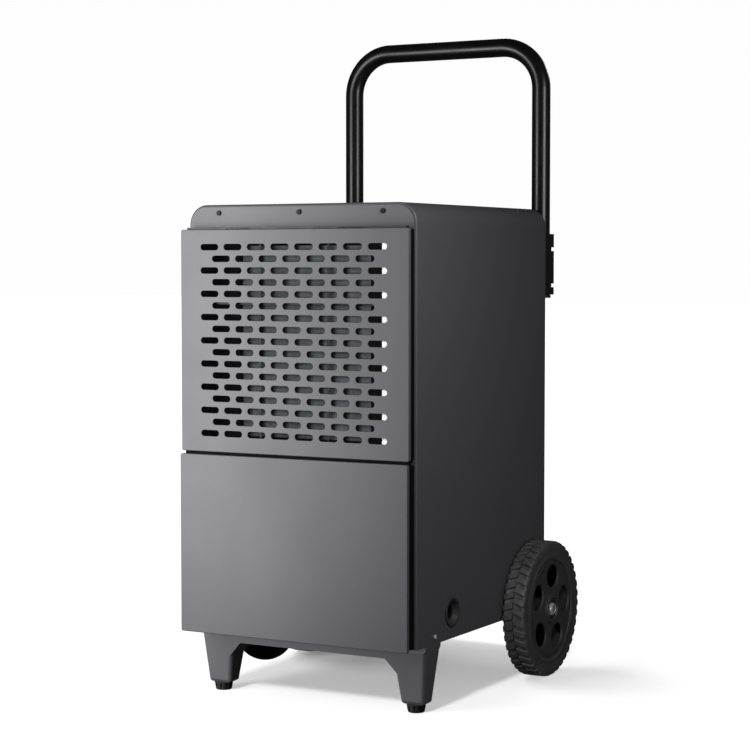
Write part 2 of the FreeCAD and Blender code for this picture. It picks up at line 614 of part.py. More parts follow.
def drip_tray():
    z0 = SHELF_Z + PAN_T
    outer = box(-152, 156, 10, 128, z0, 368)
    inner = box(-150, 154, 12, 126, z0 + 2, 369)
    spout = box(SPOUT_X - 20, SPOUT_X + 20, 126, 246, z0, 360)
    trough = box(SPOUT_X - 18, SPOUT_X + 18, 120, 244, z0 + 2, 361)
    drop = box(SPOUT_X - 14, SPOUT_X + 14, 226, 242, z0 - 8, z0 + 1)
    outlets = [box(SPOUT_X - 11, SPOUT_X + 11, 229, 239, z0 - 9, z0 + 4),
               cyl(5, (HOSE_X, PORT_Y, z0 - 1), 5, Z)]
    return fused([outer.cut(inner), spout, drop]).cut([trough] + outlets)


def drain_hose():
    """Hose from the tray's side outlet down to the drain port."""
    route = [(HOSE_X, PORT_Y, SHELF_Z + PAN_T), (HOSE_X, PORT_Y, PORT_Z), (163, PORT_Y, PORT_Z)]
    return bent_tube(route, 7, 18)


def drain_port():
    """Round bush in the cover's side with a bore for a hose tail."""
    half = COVER_W / 2
    rim_ring = Part.makeCylinder(21, 2.2, V(half, PORT_Y, PORT_Z), X)
    rim_ring = rim_ring.makeFillet(1.4, [e for e in rim_ring.Edges if e.CenterOfMass.x > half + 2])
    collar = cyl(16.9, (half - 14, PORT_Y, PORT_Z), 14, X)
    body = fused([rim_ring, collar, cyl(11, (163, PORT_Y, PORT_Z), 10, X)])
    dish = Part.makeCone(13, 17.5, 7, V(half - 4.7, PORT_Y, PORT_Z), X)
    return body.cut([dish, cyl(PORT_BORE, (163 - 1, PORT_Y, PORT_Z), 40, X)])


def fan_shroud():
    plate = box(-150, 150, FAN_Y - 2, FAN_Y, 370, 650)
    ring = cyl(FAN_R + 7, (0, FAN_Y - 2, FAN_Z), 32, Y)
    return fused([plate, ring]).cut(cyl(FAN_R + 4, (0, FAN_Y - 5, FAN_Z), 50, Y))


def fan_impeller():
    """Five pitched blades on a cupped hub, with the shaft that enters the motor."""
    y0 = FAN_Y + 2
    hub = cyl(36, (0, y0, FAN_Z), 34, Y).cut(cyl(33, (0, y0 + 4, FAN_Z), 40, Y))
    boss = cyl(9, (0, y0 + 2, FAN_Z), 28, Y)
    blades = []
    for step in range(5):
        blade = box(-34, 34, -1.2, 1.2, 34, FAN_R + 10)
        blade.rotate(V(0, 0, 0), Z, 24)
        blade.rotate(V(0, 0, 0), Y, 72 * step)
        blade.translate(V(0, y0 + 17, FAN_Z))
        blades.append(blade)
    wheel = fused(blades + [cyl(36, (0, y0, FAN_Z), 34, Y)]).common(cyl(FAN_R, (0, y0 - 5, FAN_Z), 60, Y))
    wheel = wheel.cut(cyl(33, (0, y0 + 4, FAN_Z), 60, Y))
    return fused([wheel, hub, boss, cyl(4, (0, y0 + 4, FAN_Z), 60, Y)])


def fan_motor():
    y0 = FAN_Y + 44
    can = Part.makeCylinder(42, 58, V(0, y0, FAN_Z), Y)
    can = can.makeFillet(6, [e for e in can.Edges if e.Curve.TypeId == "Part::GeomCircle"])
    ribs = [cyl(43.5, (0, y0 + 18 + 6 * k, FAN_Z), 3, Y) for k in range(5)]
    return fused([can] + ribs).cut(cyl(4.05, (0, y0 - 1, FAN_Z), 24, Y))


def motor_bracket():
    """Four posts on the shroud and a cross of flat bars round the motor."""
    pieces = [cyl(56, (0, FAN_Y + 54, FAN_Z), 3, Y)]
    for s in (-1, 1):
        for t in (-1, 1):
            post = cyl(5, (s * 132, FAN_Y, FAN_Z + t * 128), 57, Y)
            arm = box(38, 190, -7, 7, -1.5, 1.5)
            arm.rotate(V(0, 0, 0), X, 90)
            arm.rotate(V(0, 0, 0), Y, -math.degrees(math.atan2(t * 128, s * 132)))
            arm.translate(V(0, FAN_Y + 55.5, FAN_Z))
            pieces += [post, arm]
    cross = fused(pieces)
    return cross.cut(cyl(42, (0, FAN_Y + 50, FAN_Z), 20, Y))


# ---------------------------------------------------------------- machine room
def compressor_feet():
    places = []
    for k in range(3):
        angle = math.radians(90 + 120 * k)
        places.append((COMP_X + COMP_FOOT_R * math.cos(angle), COMP_Y + COMP_FOOT_R * math.sin(angle)))
    return places


def compressor():
    """Upright hermetic compressor on its three-lobed foot plate."""
    can = revolve_z([(0, 121), (40, 121), (54, 127), (59, 138), (59, 300), (54, 313), (38, 322), (0, 326)],
                    COMP_X, COMP_Y)
    feet = [cyl(59, (COMP_X, COMP_Y, COMP_BASE), 3, Z)]
    feet += [cyl(13, (x, y, COMP_BASE), 3, Z) for x, y in compressor_feet()]
    stub = cyl(4, (DISCHARGE_X, COMP_Y, 318), 12, Z)
    cap = cyl(22, (COMP_X - 8, COMP_Y, 318), 16, Z)
    bottle = [(0, 150), (14, 150), (21, 158), (21, 262), (14, 270), (0, 270)]
    accumulator = revolve_z(bottle, ACCUMULATOR_X, COMP_Y)
    link = bent_tube([(ACCUMULATOR_X, COMP_Y, 152), (ACCUMULATOR_X, COMP_Y, 134),
                      (COMP_X - 55, COMP_Y, 134)], 4.0, 10)
    strap = box(ACCUMULATOR_X, COMP_X, COMP_Y - 10, COMP_Y + 10, 205, 208)
    hollow = cyl(36, (COMP_X, COMP_Y, 140), 170, Z)
    return fused([can, stub, cap, accumulator, link, strap] + feet).cut(hollow)


def compressor_mounts():
    outline = [(0, DECK), (12, DECK), (9, DECK + 3.5), (12, COMP_BASE), (0, COMP_BASE)]
    return Part.makeCompound([revolve_z(outline, x, y) for x, y in compressor_feet()])


def refrigerant_pipes():
    """Discharge and suction lines; copper, up through the shelf behind the tray."""
    discharge = bent_tube([(DISCHARGE_X, COMP_Y, 330), (DISCHARGE_X, COMP_Y, 338), (DISCHARGE_X, PIPE_Y, 338),
                           (DISCHARGE_X, PIPE_Y, 362)], 3.2, 3.9)
    suction = bent_tube([(ACCUMULATOR_X, COMP_Y, 270), (ACCUMULATOR_X, COMP_Y, 306),
                         (ACCUMULATOR_X, PIPE_Y, 306), (ACCUMULATOR_X, PIPE_Y, 362)], 4.0, 12)
    return Part.makeCompound([discharge, suction])


def electric_box():
    shell = box(-176, -62, 24, 82, 190, 335)
    shell = shell.makeFillet(3, shell.Edges)
    lid = box(-178, -60, 20, 24, 188, 337)
    return fused([shell, lid]).cut(box(-173, -65, 27, 79, 193, 332))


def run_capacitor():
    return revolve_z([(0, DECK), (22, DECK), (22, 205), (19, 208), (0, 208)], -110, 178)


# ---------------------------------------------------------------- water tank
def water_tank():
    """Open-topped moulded tank; its outer wall closes the machine's back and has a finger pull."""
    w = TANK_WALL
    outer = box(-TANK_X, TANK_X, TANK_Y0, TANK_Y1, TANK_Z0, TANK_Z1)
    upright = [e for e in outer.Edges if e.BoundBox.ZLength > 50]
    outer = outer.makeFillet(6, upright)
    inner = box(-TANK_X + w, TANK_X - w, TANK_Y0 + w, TANK_Y1 - w, TANK_Z0 + w, TANK_Z1 + 1)
    inner = inner.makeFillet(4, [e for e in inner.Edges if e.BoundBox.ZLength > 50])
    shell = outer.cut(inner)
    pocket_wall = box(-54, 54, TANK_Y1 - 28, TANK_Y1 - w + 1, 252, 306)
    ears = [box(x, x + 4, TANK_Y0 + w - 1, FLOAT_Y + 6, FLOAT_Z - 8, FLOAT_Z + 8) for x in FLOAT_X]
    shell = fused([shell, pocket_wall] + ears)
    pocket = rounded(-50, 50, 256, 302, 8, TANK_Y1 - 24, TANK_Y1 + 1)
    return shell.cut([pocket, cyl(2.55, (FLOAT_X[0] - 1, FLOAT_Y, FLOAT_Z), 70, X)])


def tank_float():
    """Float block on its arm, pivoted on two stubs in the tank's ears."""
    block = box(-100, -60, 262, 312, 284, 303)
    block = block.makeFillet(4, along(block, X))
    arms = [box(x, x + 6, FLOAT_Y, 268, 301, 308) for x in (-100, -66)]
    bosses = [cyl(5, (x, FLOAT_Y, FLOAT_Z), 6, X) for x in (-100, -66)]
    tie = box(-100, -60, 252, 258, 301, 308)
    stubs = [cyl(2.5, (FLOAT_X[0] + 0.5, FLOAT_Y, FLOAT_Z), 12, X),
             cyl(2.5, (-61, FLOAT_Y, FLOAT_Z), 12.5, X)]
    return fused([block, tie] + arms + bosses + stubs)


def float_switch():
    body = box(-96, -64, 286, 306, 335, SHELF_Z)
    return body.makeFillet(1.5, [e for e in body.Edges if e.CenterOfMass.z < 336])


def cable_gland():
    """Threaded gland with a domed nut; its bore takes the mains cable."""
    y = COVER_D
    stem = cyl(8, (GLAND_X, y - 10, GLAND_Z), 12, Y)
    corners = [math.radians(60 * k + 30) for k in range(6)]
    nut = prism([(GLAND_X + 11 * math.cos(a), y, GLAND_Z + 11 * math.sin(a)) for a in corners], V(0, 6, 0))
    dome = Part.makeCone(9.5, 6.5, 12, V(GLAND_X, y + 6, GLAND_Z), Y)
    back = cyl(11, (GLAND_X, y - SHEET - 4, GLAND_Z), 4, Y)
    return fused([stem, nut, dome, back]).cut(cyl(GLAND_BORE, (GLAND_X, y - 12, GLAND_Z), 40, Y))


# ---------------------------------------------------------------- controls on the top
def control_panel():
    """Recessed tub with a flat bezel on the cover's top."""
    z = COVER_TOP
    bezel = box(-TOP_X - 6, TOP_X + 6, TOP_Y0 - 6, TOP_Y1 + 6, z, z + 1.5)
    bezel = bezel.makeFillet(6, along(bezel, Z))
    tub = box(-TOP_X + 0.4, TOP_X - 0.4, TOP_Y0 + 0.4, TOP_Y1 - 0.4, z - 22, z + 0.5)
    tub = tub.cut(box(-TOP_X + 2.4, TOP_X - 2.4, TOP_Y0 + 2.4, TOP_Y1 - 2.4, z - 20, z - 1.5))
    cuts = [cyl(BUTTON_R + 0.3, (x, BUTTON_Y, z - 3), 6, Z) for x in BUTTON_X.values()]
    cuts += [box(-78, -22, BUTTON_Y - 17, BUTTON_Y + 17, z + 0.3, z + 3),
             box(-74, -26, BUTTON_Y - 13, BUTTON_Y + 13, z - 3, z + 3)]
    return fused([bezel, tub]).cut(cuts)


def display_lens():
    z = COVER_TOP
    lens = box(-77.8, -22.2, BUTTON_Y - 16.8, BUTTON_Y + 16.8, z + 0.3, z + 1.5)
    return lens.makeFillet(0.4, [e for e in lens.Edges if e.CenterOfMass.z > z + 1.4])


def button(x):
    """Round push button with the flange that keeps it in the panel."""
    z = COVER_TOP
    cap = revolve_z([(0, z - 7), (BUTTON_R, z - 7), (BUTTON_R, z + 1.1), (BUTTON_R - 0.6, z + 1.6),
                     (BUTTON_R - 2, z + 1.5), (0, z + 1.2)], x, BUTTON_Y)
    return fused([cap, cyl(BUTTON_R + 1.5, (x, BUTTON_Y, z - 7), 4, Z), cyl(3, (x, BUTTON_Y, z - 13), 7, Z)])


# ---------------------------------------------------------------- fasteners
def strip_screws():
    return [screw(x, -SHEET, z, Y * -1, 3.6, 2.2, 7) for x, z in STRIP_SCREWS]


def side_screws():
    right = [screw(COVER_W / 2, y, z, X, 3.4, 2.0, 6) for y, z in SIDE_SCREWS]
    return right + [mirrored(s) for s in right]


def rear_screws():
    return [screw(x, COVER_D, z, Y, 3.6, 2.2, 7) for x, z in REAR_SCREWS]


def bracket_screws():
    return [screw(x, COVER_D + 6, z, Y, 4.0, 2.6, 12) for x, z in BRACKET_SCREWS]


def leg_screws():
    return [screw(x, y, DECK, Z, 4.0, 2.4, 12) for x, y in leg_screw_places()]


# ---------------------------------------------------------------- everything
def build():
    yield "cover", cover()
    yield "front_frame", front_frame()
    yield "grille_panel", grille_panel()
    yield "lower_panel", lower_panel()
    yield "filter_carrier", filter_carrier()
    yield "lower_spacer", lower_spacer()
    yield "filter_frame", filter_frame()
    yield "filter_mesh", filter_mesh()
    yield "base_pan", base_pan()
    yield "mid_shelf", mid_shelf()
    yield "rear_panel", rear_panel()
    yield "outlet_grille", outlet_grille()
    yield "front_leg_bar", front_leg_bar()
    yield "rubber_feet", Part.makeCompound([rubber_foot(-1), rubber_foot(1)])
    yield "sump", sump()
    pairs = (("tyre", tyre), ("rim", rim), ("wheel_bush", bush), ("handle_bracket", handle_bracket))
    for name, make in pairs:
        right = make()
        yield name + "_right", right
        yield name + "_left", mirrored(right)
    yield "axle", axle()
    yield "axle_brackets", Part.makeCompound([axle_bracket(), mirrored(axle_bracket())])
    yield "axle_washers", axle_washers()
    yield "axle_nuts", axle_nuts()
    yield "handle_tube", handle_tube()
    yield "handle_end_caps", handle_end_caps()
    yield "evaporator_fins", coil_fins(EVAPORATOR_Y)
    yield "condenser_fins", coil_fins(CONDENSER_Y)
    yield "coil_tubes", Part.makeCompound(coil_tubes(EVAPORATOR_Y) + coil_tubes(CONDENSER_Y))
    yield "coil_end_plates", coil_end_plates()
    yield "coil_baffles", coil_baffles()
    yield "foam_liner", foam_liner()
    yield "drip_tray", drip_tray()
    yield "drain_hose", drain_hose()
    yield "drain_port", drain_port()
    yield "fan_shroud", fan_shroud()
    yield "fan_impeller", fan_impeller()
    yield "fan_motor", fan_motor()
    yield "motor_bracket", motor_bracket()
    yield "compressor", compressor()
    yield "compressor_mounts", compressor_mounts()
    yield "refrigerant_pipes", refrigerant_pipes()
    yield "electric_box", electric_box()
    yield "run_capacitor", run_capacitor()
    yield "water_tank", water_tank()
    yield "tank_float", tank_float()
    yield "float_switch", float_switch()
    yield "cable_gland", cable_gland()
    yield "control_panel", control_panel()
    yield "display_lens", display_lens()
    for name, x in BUTTON_X.items():
        yield name, button(x)
    yield "screws_front", Part.makeCompound(strip_screws())
    yield "screws_bright", Part.makeCompound(side_screws() + leg_screws())
    yield "screws_rear", Part.makeCompound(rear_screws() + bracket_screws())


os.makedirs("parts", exist_ok=True)
for node, shape in build():
    export(shape, node)
    print(node, len(shape.Solids), "solids", round(shape.Volume / 1000, 1), "cm3")
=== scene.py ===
"""Looks for the commercial dehumidifier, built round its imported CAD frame.

Metres, +Z up, the slotted front faces -Y. Lengths written with mm() are millimetres,
with y counted from the front edge of the sheet cover, as the CAD source counts it.
Outlines of turned parts are millimetres too. Bump depths, bevel radii of materials,
lamps and boxes read from the frame are metres.
"""
import json
import math

import bpy
import bmesh
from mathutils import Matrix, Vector

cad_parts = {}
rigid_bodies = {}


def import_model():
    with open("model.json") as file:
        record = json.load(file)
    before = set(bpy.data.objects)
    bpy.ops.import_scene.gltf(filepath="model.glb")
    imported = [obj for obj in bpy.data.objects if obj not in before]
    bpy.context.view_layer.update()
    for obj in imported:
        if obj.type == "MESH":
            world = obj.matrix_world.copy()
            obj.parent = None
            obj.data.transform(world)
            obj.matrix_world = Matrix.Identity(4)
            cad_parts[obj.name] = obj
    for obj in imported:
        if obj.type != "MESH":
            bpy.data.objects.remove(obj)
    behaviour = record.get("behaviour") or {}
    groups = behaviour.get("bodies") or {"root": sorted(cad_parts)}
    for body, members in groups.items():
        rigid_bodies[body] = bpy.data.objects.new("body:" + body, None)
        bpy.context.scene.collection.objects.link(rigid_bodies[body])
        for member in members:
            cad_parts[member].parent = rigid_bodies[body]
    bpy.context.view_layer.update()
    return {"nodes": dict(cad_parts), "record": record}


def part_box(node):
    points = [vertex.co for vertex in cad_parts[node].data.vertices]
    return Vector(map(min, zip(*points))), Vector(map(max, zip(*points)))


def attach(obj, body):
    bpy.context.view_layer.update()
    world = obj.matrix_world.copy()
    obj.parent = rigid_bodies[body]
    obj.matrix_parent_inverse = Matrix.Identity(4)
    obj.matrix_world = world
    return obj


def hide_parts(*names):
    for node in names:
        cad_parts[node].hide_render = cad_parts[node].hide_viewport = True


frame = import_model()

NODES = frame["nodes"]
FRONT_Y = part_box("cover")[0].y
MM = 0.001


def mm(x, y, z):
    """Point in metres from millimetres, y counted from the cover's front edge."""
    return Vector((x * MM, FRONT_Y + y * MM, z * MM))


# ---------------------------------------------------------------- material helpers
def tree_of(name):
    """New material, its node tree and its one shader."""
    mat = bpy.data.materials.new(name)
    mat.use_nodes = True
    tree = mat.node_tree
    tree.nodes.clear()
    out = tree.nodes.new("ShaderNodeOutputMaterial")
    shader = tree.nodes.new("ShaderNodeBsdfPrincipled")
    tree.links.new(shader.outputs[0], out.inputs[0])
    return mat, tree, shader


def link(tree, source, target):
    tree.links.new(source, target)


def coordinates(tree, scale=(1, 1, 1)):
    """Object coordinates in metres, stretched by scale."""
    where = tree.nodes.new("ShaderNodeTexCoord")
    mapping = tree.nodes.new("ShaderNodeMapping")
    mapping.inputs["Scale"].default_value = scale
    link(tree, where.outputs["Object"], mapping.inputs["Vector"])
    return mapping.outputs[0]


def noise(tree, vector, scale, detail=3.0, rough=0.5):
    node = tree.nodes.new("ShaderNodeTexNoise")
    node.inputs["Scale"].default_value = scale
    node.inputs["Detail"].default_value = detail
    node.inputs["Roughness"].default_value = rough
    link(tree, vector, node.inputs["Vector"])
    return node.outputs["Fac"]


def voronoi(tree, vector, scale, feature="F1"):
    node = tree.nodes.new("ShaderNodeTexVoronoi")
    node.feature = feature
    node.inputs["Scale"].default_value = scale
    link(tree, vector, node.inputs["Vector"])
    return node.outputs["Distance"]


NOISE_LOW, NOISE_HIGH = 0.3, 0.7   # most of a noise texture's values lie between these
CORNER_SAMPLES = 4
ENAMEL_COAT_ROUGHNESS = 0.1
PATCH_SCALE, PATCH_ROUGHNESS = 35.0, 0.05    # slow changes over moulded parts


def base_colour(tree, shader, value, dark, light, low=NOISE_LOW, high=NOISE_HIGH):
    """Base colour that goes from dark to light as value goes from low to high."""
    node = tree.nodes.new("ShaderNodeValToRGB")
    node.color_ramp.elements[0].position = low
    node.color_ramp.elements[1].position = high
    node.color_ramp.elements[0].color = (*dark, 1)
    node.color_ramp.elements[1].color = (*light, 1)
    link(tree, value, node.inputs["Fac"])
    link(tree, node.outputs["Color"], shader.inputs["Base Color"])


def spread(tree, value, low, high, out_low, out_high):
    """Map value from the range low..high to out_low..out_high."""
    node = tree.nodes.new("ShaderNodeMapRange")
    numbers = (("From Min", low), ("From Max", high), ("To Min", out_low), ("To Max", out_high))
    for key, number in numbers:
        node.inputs[key].default_value = number
    link(tree, value, node.inputs["Value"])
    return node.outputs["Result"]


def roughness(tree, shader, value, at_low, at_high, low=NOISE_LOW, high=NOISE_HIGH):
    """Roughness that goes from at_low to at_high as value goes from low to high."""
    link(tree, spread(tree, value, low, high, at_low, at_high), shader.inputs["Roughness"])


def bumped(tree, shader, layers, corner=None):
    """Chain of bumps, each (height, depth in metres), on top of one another."""
    normal = None
    if corner:
        edge = tree.nodes.new("ShaderNodeBevel")
        edge.samples = CORNER_SAMPLES
        edge.inputs["Radius"].default_value = corner
        normal = edge.outputs["Normal"]
    for height, depth in layers:
        node = tree.nodes.new("ShaderNodeBump")
        node.inputs["Strength"].default_value = 1.0
        node.inputs["Distance"].default_value = depth
        link(tree, height, node.inputs["Height"])
        if normal:
            link(tree, normal, node.inputs["Normal"])
        normal = node.outputs["Normal"]
    link(tree, normal, shader.inputs["Normal"])


def tone(colour, factor):
    return tuple(c * factor for c in colour)


def moulded(name, colour, rough=0.5, grain=900.0, depth=0.00004, specular=0.5, mottle=0.12, corner=None,
            metallic=0.0, coat=0.0):
    """Plastic, rubber or paint: fine grain, slow colour and gloss changes."""
    mat, tree, shader = tree_of(name)
    spot = coordinates(tree)
    slow = noise(tree, spot, PATCH_SCALE, detail=4.0)
    fine = noise(tree, spot, grain, detail=2.0)
    base_colour(tree, shader, slow, tone(colour, 1 - mottle), tone(colour, 1 + mottle))
    roughness(tree, shader, slow, rough - PATCH_ROUGHNESS, rough + PATCH_ROUGHNESS)
    shader.inputs["Specular IOR Level"].default_value = specular
    shader.inputs["Metallic"].default_value = metallic
    shader.inputs["Coat Weight"].default_value = coat
    shader.inputs["Coat Roughness"].default_value = ENAMEL_COAT_ROUGHNESS
    bumped(tree, shader, [(fine, depth)], corner)
    return mat


def powder_coat():
    """Satin grey powder coat: orange peel and a faint sparkle of pigment."""
    mat, tree, shader = tree_of("grey_powder_coat")
    spot = coordinates(tree)
    slow = noise(tree, spot, 6.0, detail=3.0)
    pigment = noise(tree, spot, 1500.0, detail=2.0, rough=0.7)
    peel = noise(tree, spot, 420.0, detail=2.0, rough=0.45)
    base_colour(tree, shader, pigment, (0.0832, 0.0817, 0.0883), (0.1063, 0.1044, 0.1127), high=0.75)
    roughness(tree, shader, slow, 0.42, 0.5)
    shader.inputs["Specular IOR Level"].default_value = 0.45
    bumped(tree, shader, [(peel, 0.00003)], corner=0.0005)
    return mat


def gloss_black():
    """Stoved gloss black paint on the bent tube."""
    mat, tree, shader = tree_of("gloss_black_paint")
    spot = coordinates(tree)
    peel = noise(tree, spot, 160.0, detail=2.0, rough=0.4)
    dust = noise(tree, spot, 60.0, detail=4.0, rough=0.6)
    base_colour(tree, shader, dust, (0.004, 0.004, 0.0043), (0.007, 0.007, 0.0075), low=0.35)
    roughness(tree, shader, dust, 0.3, 0.36)
    bumped(tree, shader, [(peel, 0.000004)])
    return mat


def sheet_zinc():
    """Galvanised sheet with its spangle."""
    mat, tree, shader = tree_of("galvanised_sheet")
    spot = coordinates(tree)
    cells = voronoi(tree, spot, 140.0)
    slow = noise(tree, spot, 20.0, detail=4.0)
    base_colour(tree, shader, cells, (0.42, 0.43, 0.44), (0.62, 0.63, 0.64), low=0.0, high=0.9)
    roughness(tree, shader, slow, 0.3, 0.5)
    shader.inputs["Metallic"].default_value = 1.0
    bumped(tree, shader, [(slow, 0.00002)], corner=0.0003)
    return mat


def brushed(name, colour, rough=0.3, scale=(40, 900, 900), metallic=1.0, streak=0.15):
    """Metal with streaks along X, or as scale says."""
    mat, tree, shader = tree_of(name)
    spot = coordinates(tree, scale)
    lines = noise(tree, spot, 1.0, detail=4.0, rough=0.6)
    base_colour(tree, shader, lines, tone(colour, 1 - streak), tone(colour, 1 + streak))
    roughness(tree, shader, lines, rough - 0.07, rough + 0.07)
    shader.inputs["Metallic"].default_value = metallic
    bumped(tree, shader, [(lines, 0.00001)])
    return mat


def copper():
    """Drawn copper with brown stains."""
    mat, tree, shader = tree_of("drawn_copper")
    spot = coordinates(tree)
    stain = noise(tree, spot, 90.0, detail=5.0, rough=0.65)
    base_colour(tree, shader, stain, (0.30, 0.115, 0.06), (0.78, 0.36, 0.19), low=0.32, high=0.68)
    roughness(tree, shader, stain, 0.5, 0.22)
    shader.inputs["Metallic"].default_value = 1.0
    bumped(tree, shader, [(stain, 0.00002)])
    return mat


def coil_metal():
    """Pale coated fin stock with faint press marks."""
    mat, tree, shader = tree_of("coated_fin_stock")
    spot = coordinates(tree)
    marks = noise(tree, spot, 30.0, detail=4.0, rough=0.6)
    base_colour(tree, shader, marks, (0.42, 0.45, 0.49), (0.60, 0.63, 0.68))
    roughness(tree, shader, marks, 0.35, 0.5)
    shader.inputs["Metallic"].default_value = 0.55
    bumped(tree, shader, [(marks, 0.00002)])
    return mat


def bead_foam():
    """Expanded polystyrene: packed beads with dark seams between them."""
    mat, tree, shader = tree_of("bead_foam")
    spot = coordinates(tree)
    beads_per_metre = 330.0
    beads = voronoi(tree, spot, beads_per_metre)
    seams = voronoi(tree, spot, beads_per_metre, "DISTANCE_TO_EDGE")
    base_colour(tree, shader, seams, (0.66, 0.66, 0.64), (0.88, 0.88, 0.865), low=0.0, high=0.12)
    roughness(tree, shader, beads, 0.75, 0.9, low=0.0, high=1.0)
    shader.inputs["Subsurface Weight"].default_value = 0.15
    shader.inputs["Subsurface Radius"].default_value = (0.003, 0.003, 0.003)
    bumped(tree, shader, [(beads, -0.0006)])
    return mat


def smoked_lens():
    """Nearly black glossy lens with faint smudges."""
    mat, tree, shader = tree_of("smoked_lens")
    spot = coordinates(tree)
    smudge = noise(tree, spot, 45.0, detail=4.0, rough=0.6)
    base_colour(tree, shader, smudge, (0.006, 0.006, 0.007), (0.012, 0.012, 0.013))
    roughness(tree, shader, smudge, 0.05, 0.13)
    shader.inputs["Coat Weight"].default_value = 1.0
    shader.inputs["Coat Roughness"].default_value = 0.04
    bumped(tree, shader, [(smudge, 0.000004)])
    return mat


def rubber(name, colour, rough=0.72):
    """Moulded rubber: dull bloom in patches, fine pitted skin."""
    mat, tree, shader = tree_of(name)
    spot = coordinates(tree)
    bloom = noise(tree, spot, 28.0, detail=5.0, rough=0.62)
    pits = voronoi(tree, spot, 1300.0)
    fine = noise(tree, spot, 700.0, detail=2.0)
    base_colour(tree, shader, bloom, tone(colour, 0.8), tone(colour, 1.25), low=0.32, high=0.72)
    roughness(tree, shader, bloom, rough - 0.08, rough + 0.08)
    shader.inputs["Specular IOR Level"].default_value = 0.4
    bumped(tree, shader, [(pits, 0.00003), (fine, 0.00004)])
    return mat


M = {
    "grey_paint": powder_coat(),
    "zinc_steel": sheet_zinc(),
    "bright_steel": brushed("bright_zinc_plate", (0.66, 0.66, 0.67), rough=0.36, metallic=0.75),
    "black_screws": moulded("black_oxide_screws", (0.006, 0.006, 0.006), grain=700.0, depth=0.00002,
                            specular=0.25),
    "black_gloss_paint": gloss_black(),
    "black_plastic": moulded("black_moulding", (0.011, 0.011, 0.0115), rough=0.48, grain=1100.0,
                             depth=0.00005, corner=0.0005),
    "filter_net": moulded("filter_thread", (0.006, 0.006, 0.0065), rough=0.6, grain=1800.0,
                          depth=0.00002, specular=0.15),
    "black_rubber": rubber("foot_rubber", (0.012, 0.012, 0.012)),
    "tyre_rubber": rubber("tyre_rubber", (0.04, 0.04, 0.0415), rough=0.6),
    "nylon": moulded("black_nylon", (0.02, 0.02, 0.021), rough=0.42, grain=800.0, depth=0.00003),
    "fin_aluminium": coil_metal(),
    "copper": copper(),
    "white_foam": bead_foam(),
    "hose_rubber": moulded("grey_hose", (0.22, 0.225, 0.23), rough=0.45, grain=500.0, depth=0.00003),
    "motor_casting": moulded("motor_casting", (0.13, 0.13, 0.137), grain=380.0, depth=0.00012,
                             metallic=0.5),
    "bracket_steel": moulded("black_bracket_paint", (0.014, 0.014, 0.014), rough=0.38, grain=600.0,
                             depth=0.00003),
    "compressor_paint": moulded("black_enamel", (0.008, 0.008, 0.008), rough=0.25, grain=240.0,
                                depth=0.00003, coat=0.5),
    "capacitor_can": brushed("drawn_can", (0.6, 0.6, 0.61), scale=(700, 700, 25)),
    "tank_plastic": moulded("tank_polypropylene", (0.028, 0.028, 0.03), grain=650.0, depth=0.00006,
                            corner=0.0006),
    "panel_plastic": moulded("panel_plastic", (0.010, 0.010, 0.011), rough=0.32, grain=1200.0,
                             depth=0.00002, corner=0.0005),
    "display": smoked_lens(),
    "button_plastic": moulded("button_plastic", (0.16, 0.16, 0.168), rough=0.42, grain=1200.0,
                              depth=0.00002),
}
SLOT_OF = {part["node"]: part["material_slot"] for part in frame["record"]["subparts"]}


def paint_node(node, material):
    """The node's faces take this material; its own mesh stays as it came."""
    for place in NODES[node].material_slots:
        place.link = "OBJECT"
        place.material = material


for node, slot_name in SLOT_OF.items():
    paint_node(node, M[slot_name])
RIM_PLASTIC = moulded("wheel_moulding", (0.032, 0.032, 0.033), depth=0.00005, corner=0.0004)
LEGEND = moulded("legend_white", (0.62, 0.62, 0.61), depth=0.00001)
SEGMENT = moulded("display_segment", (0.30, 0.32, 0.33), rough=0.4, depth=0.00001)
# Near-black, low-gloss moulding: black plastic, made this dark and dull to paint the shade in the gaps beside
# and between the front panels (filter carrier, lower spacer, seam strip).
BLACK_AND_GAP_SHADE = moulded("dull_black_moulding", (0.0035, 0.0035, 0.0036), rough=0.7, grain=1100.0,
                     depth=0.00005, specular=0.12)
for node in ("filter_carrier", "lower_spacer", "sump", "coil_baffles"):
    paint_node(node, BLACK_AND_GAP_SHADE)


def port_moulding():
    """Grey flange that goes black inside the bore: painted shade for the depth of the bore."""
    mat, tree, shader = tree_of("port_moulding")
    low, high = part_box("drain_port")
    centre = (low + high) / 2
    # Painted shade: black near the port's axis, blending out to the flange's grey further out.
    bore_shade_to, grey_from = 0.0085, 0.0125
    where = tree.nodes.new("ShaderNodeTexCoord")
    mapping = tree.nodes.new("ShaderNodeMapping")
    mapping.inputs["Location"].default_value = (0.0, -centre.y, -centre.z)
    mapping.inputs["Scale"].default_value = (0.0, 1.0, 1.0)
    link(tree, where.outputs["Object"], mapping.inputs["Vector"])
    radius = tree.nodes.new("ShaderNodeVectorMath")
    radius.operation = "LENGTH"
    link(tree, mapping.outputs[0], radius.inputs[0])
    fine = noise(tree, where.outputs["Object"], 1100.0, detail=2.0)
    share = spread(tree, radius.outputs["Value"], bore_shade_to, grey_from, 0.0, 1.0)
    base_colour(tree, shader, share, (0.004, 0.004, 0.004), (0.05, 0.05, 0.052), low=0.0, high=1.0)
    roughness(tree, shader, fine, 0.5, 0.6)
    shader.inputs["Specular IOR Level"].default_value = 0.3
    bumped(tree, shader, [(fine, 0.00004)], corner=0.0005)
    return mat


paint_node("drain_port", port_moulding())


# ---------------------------------------------------------------- mesh helpers
BEVEL_SEGMENTS = 2
BEVEL_FROM = math.radians(35.0)    # edges flatter than this stay as they are


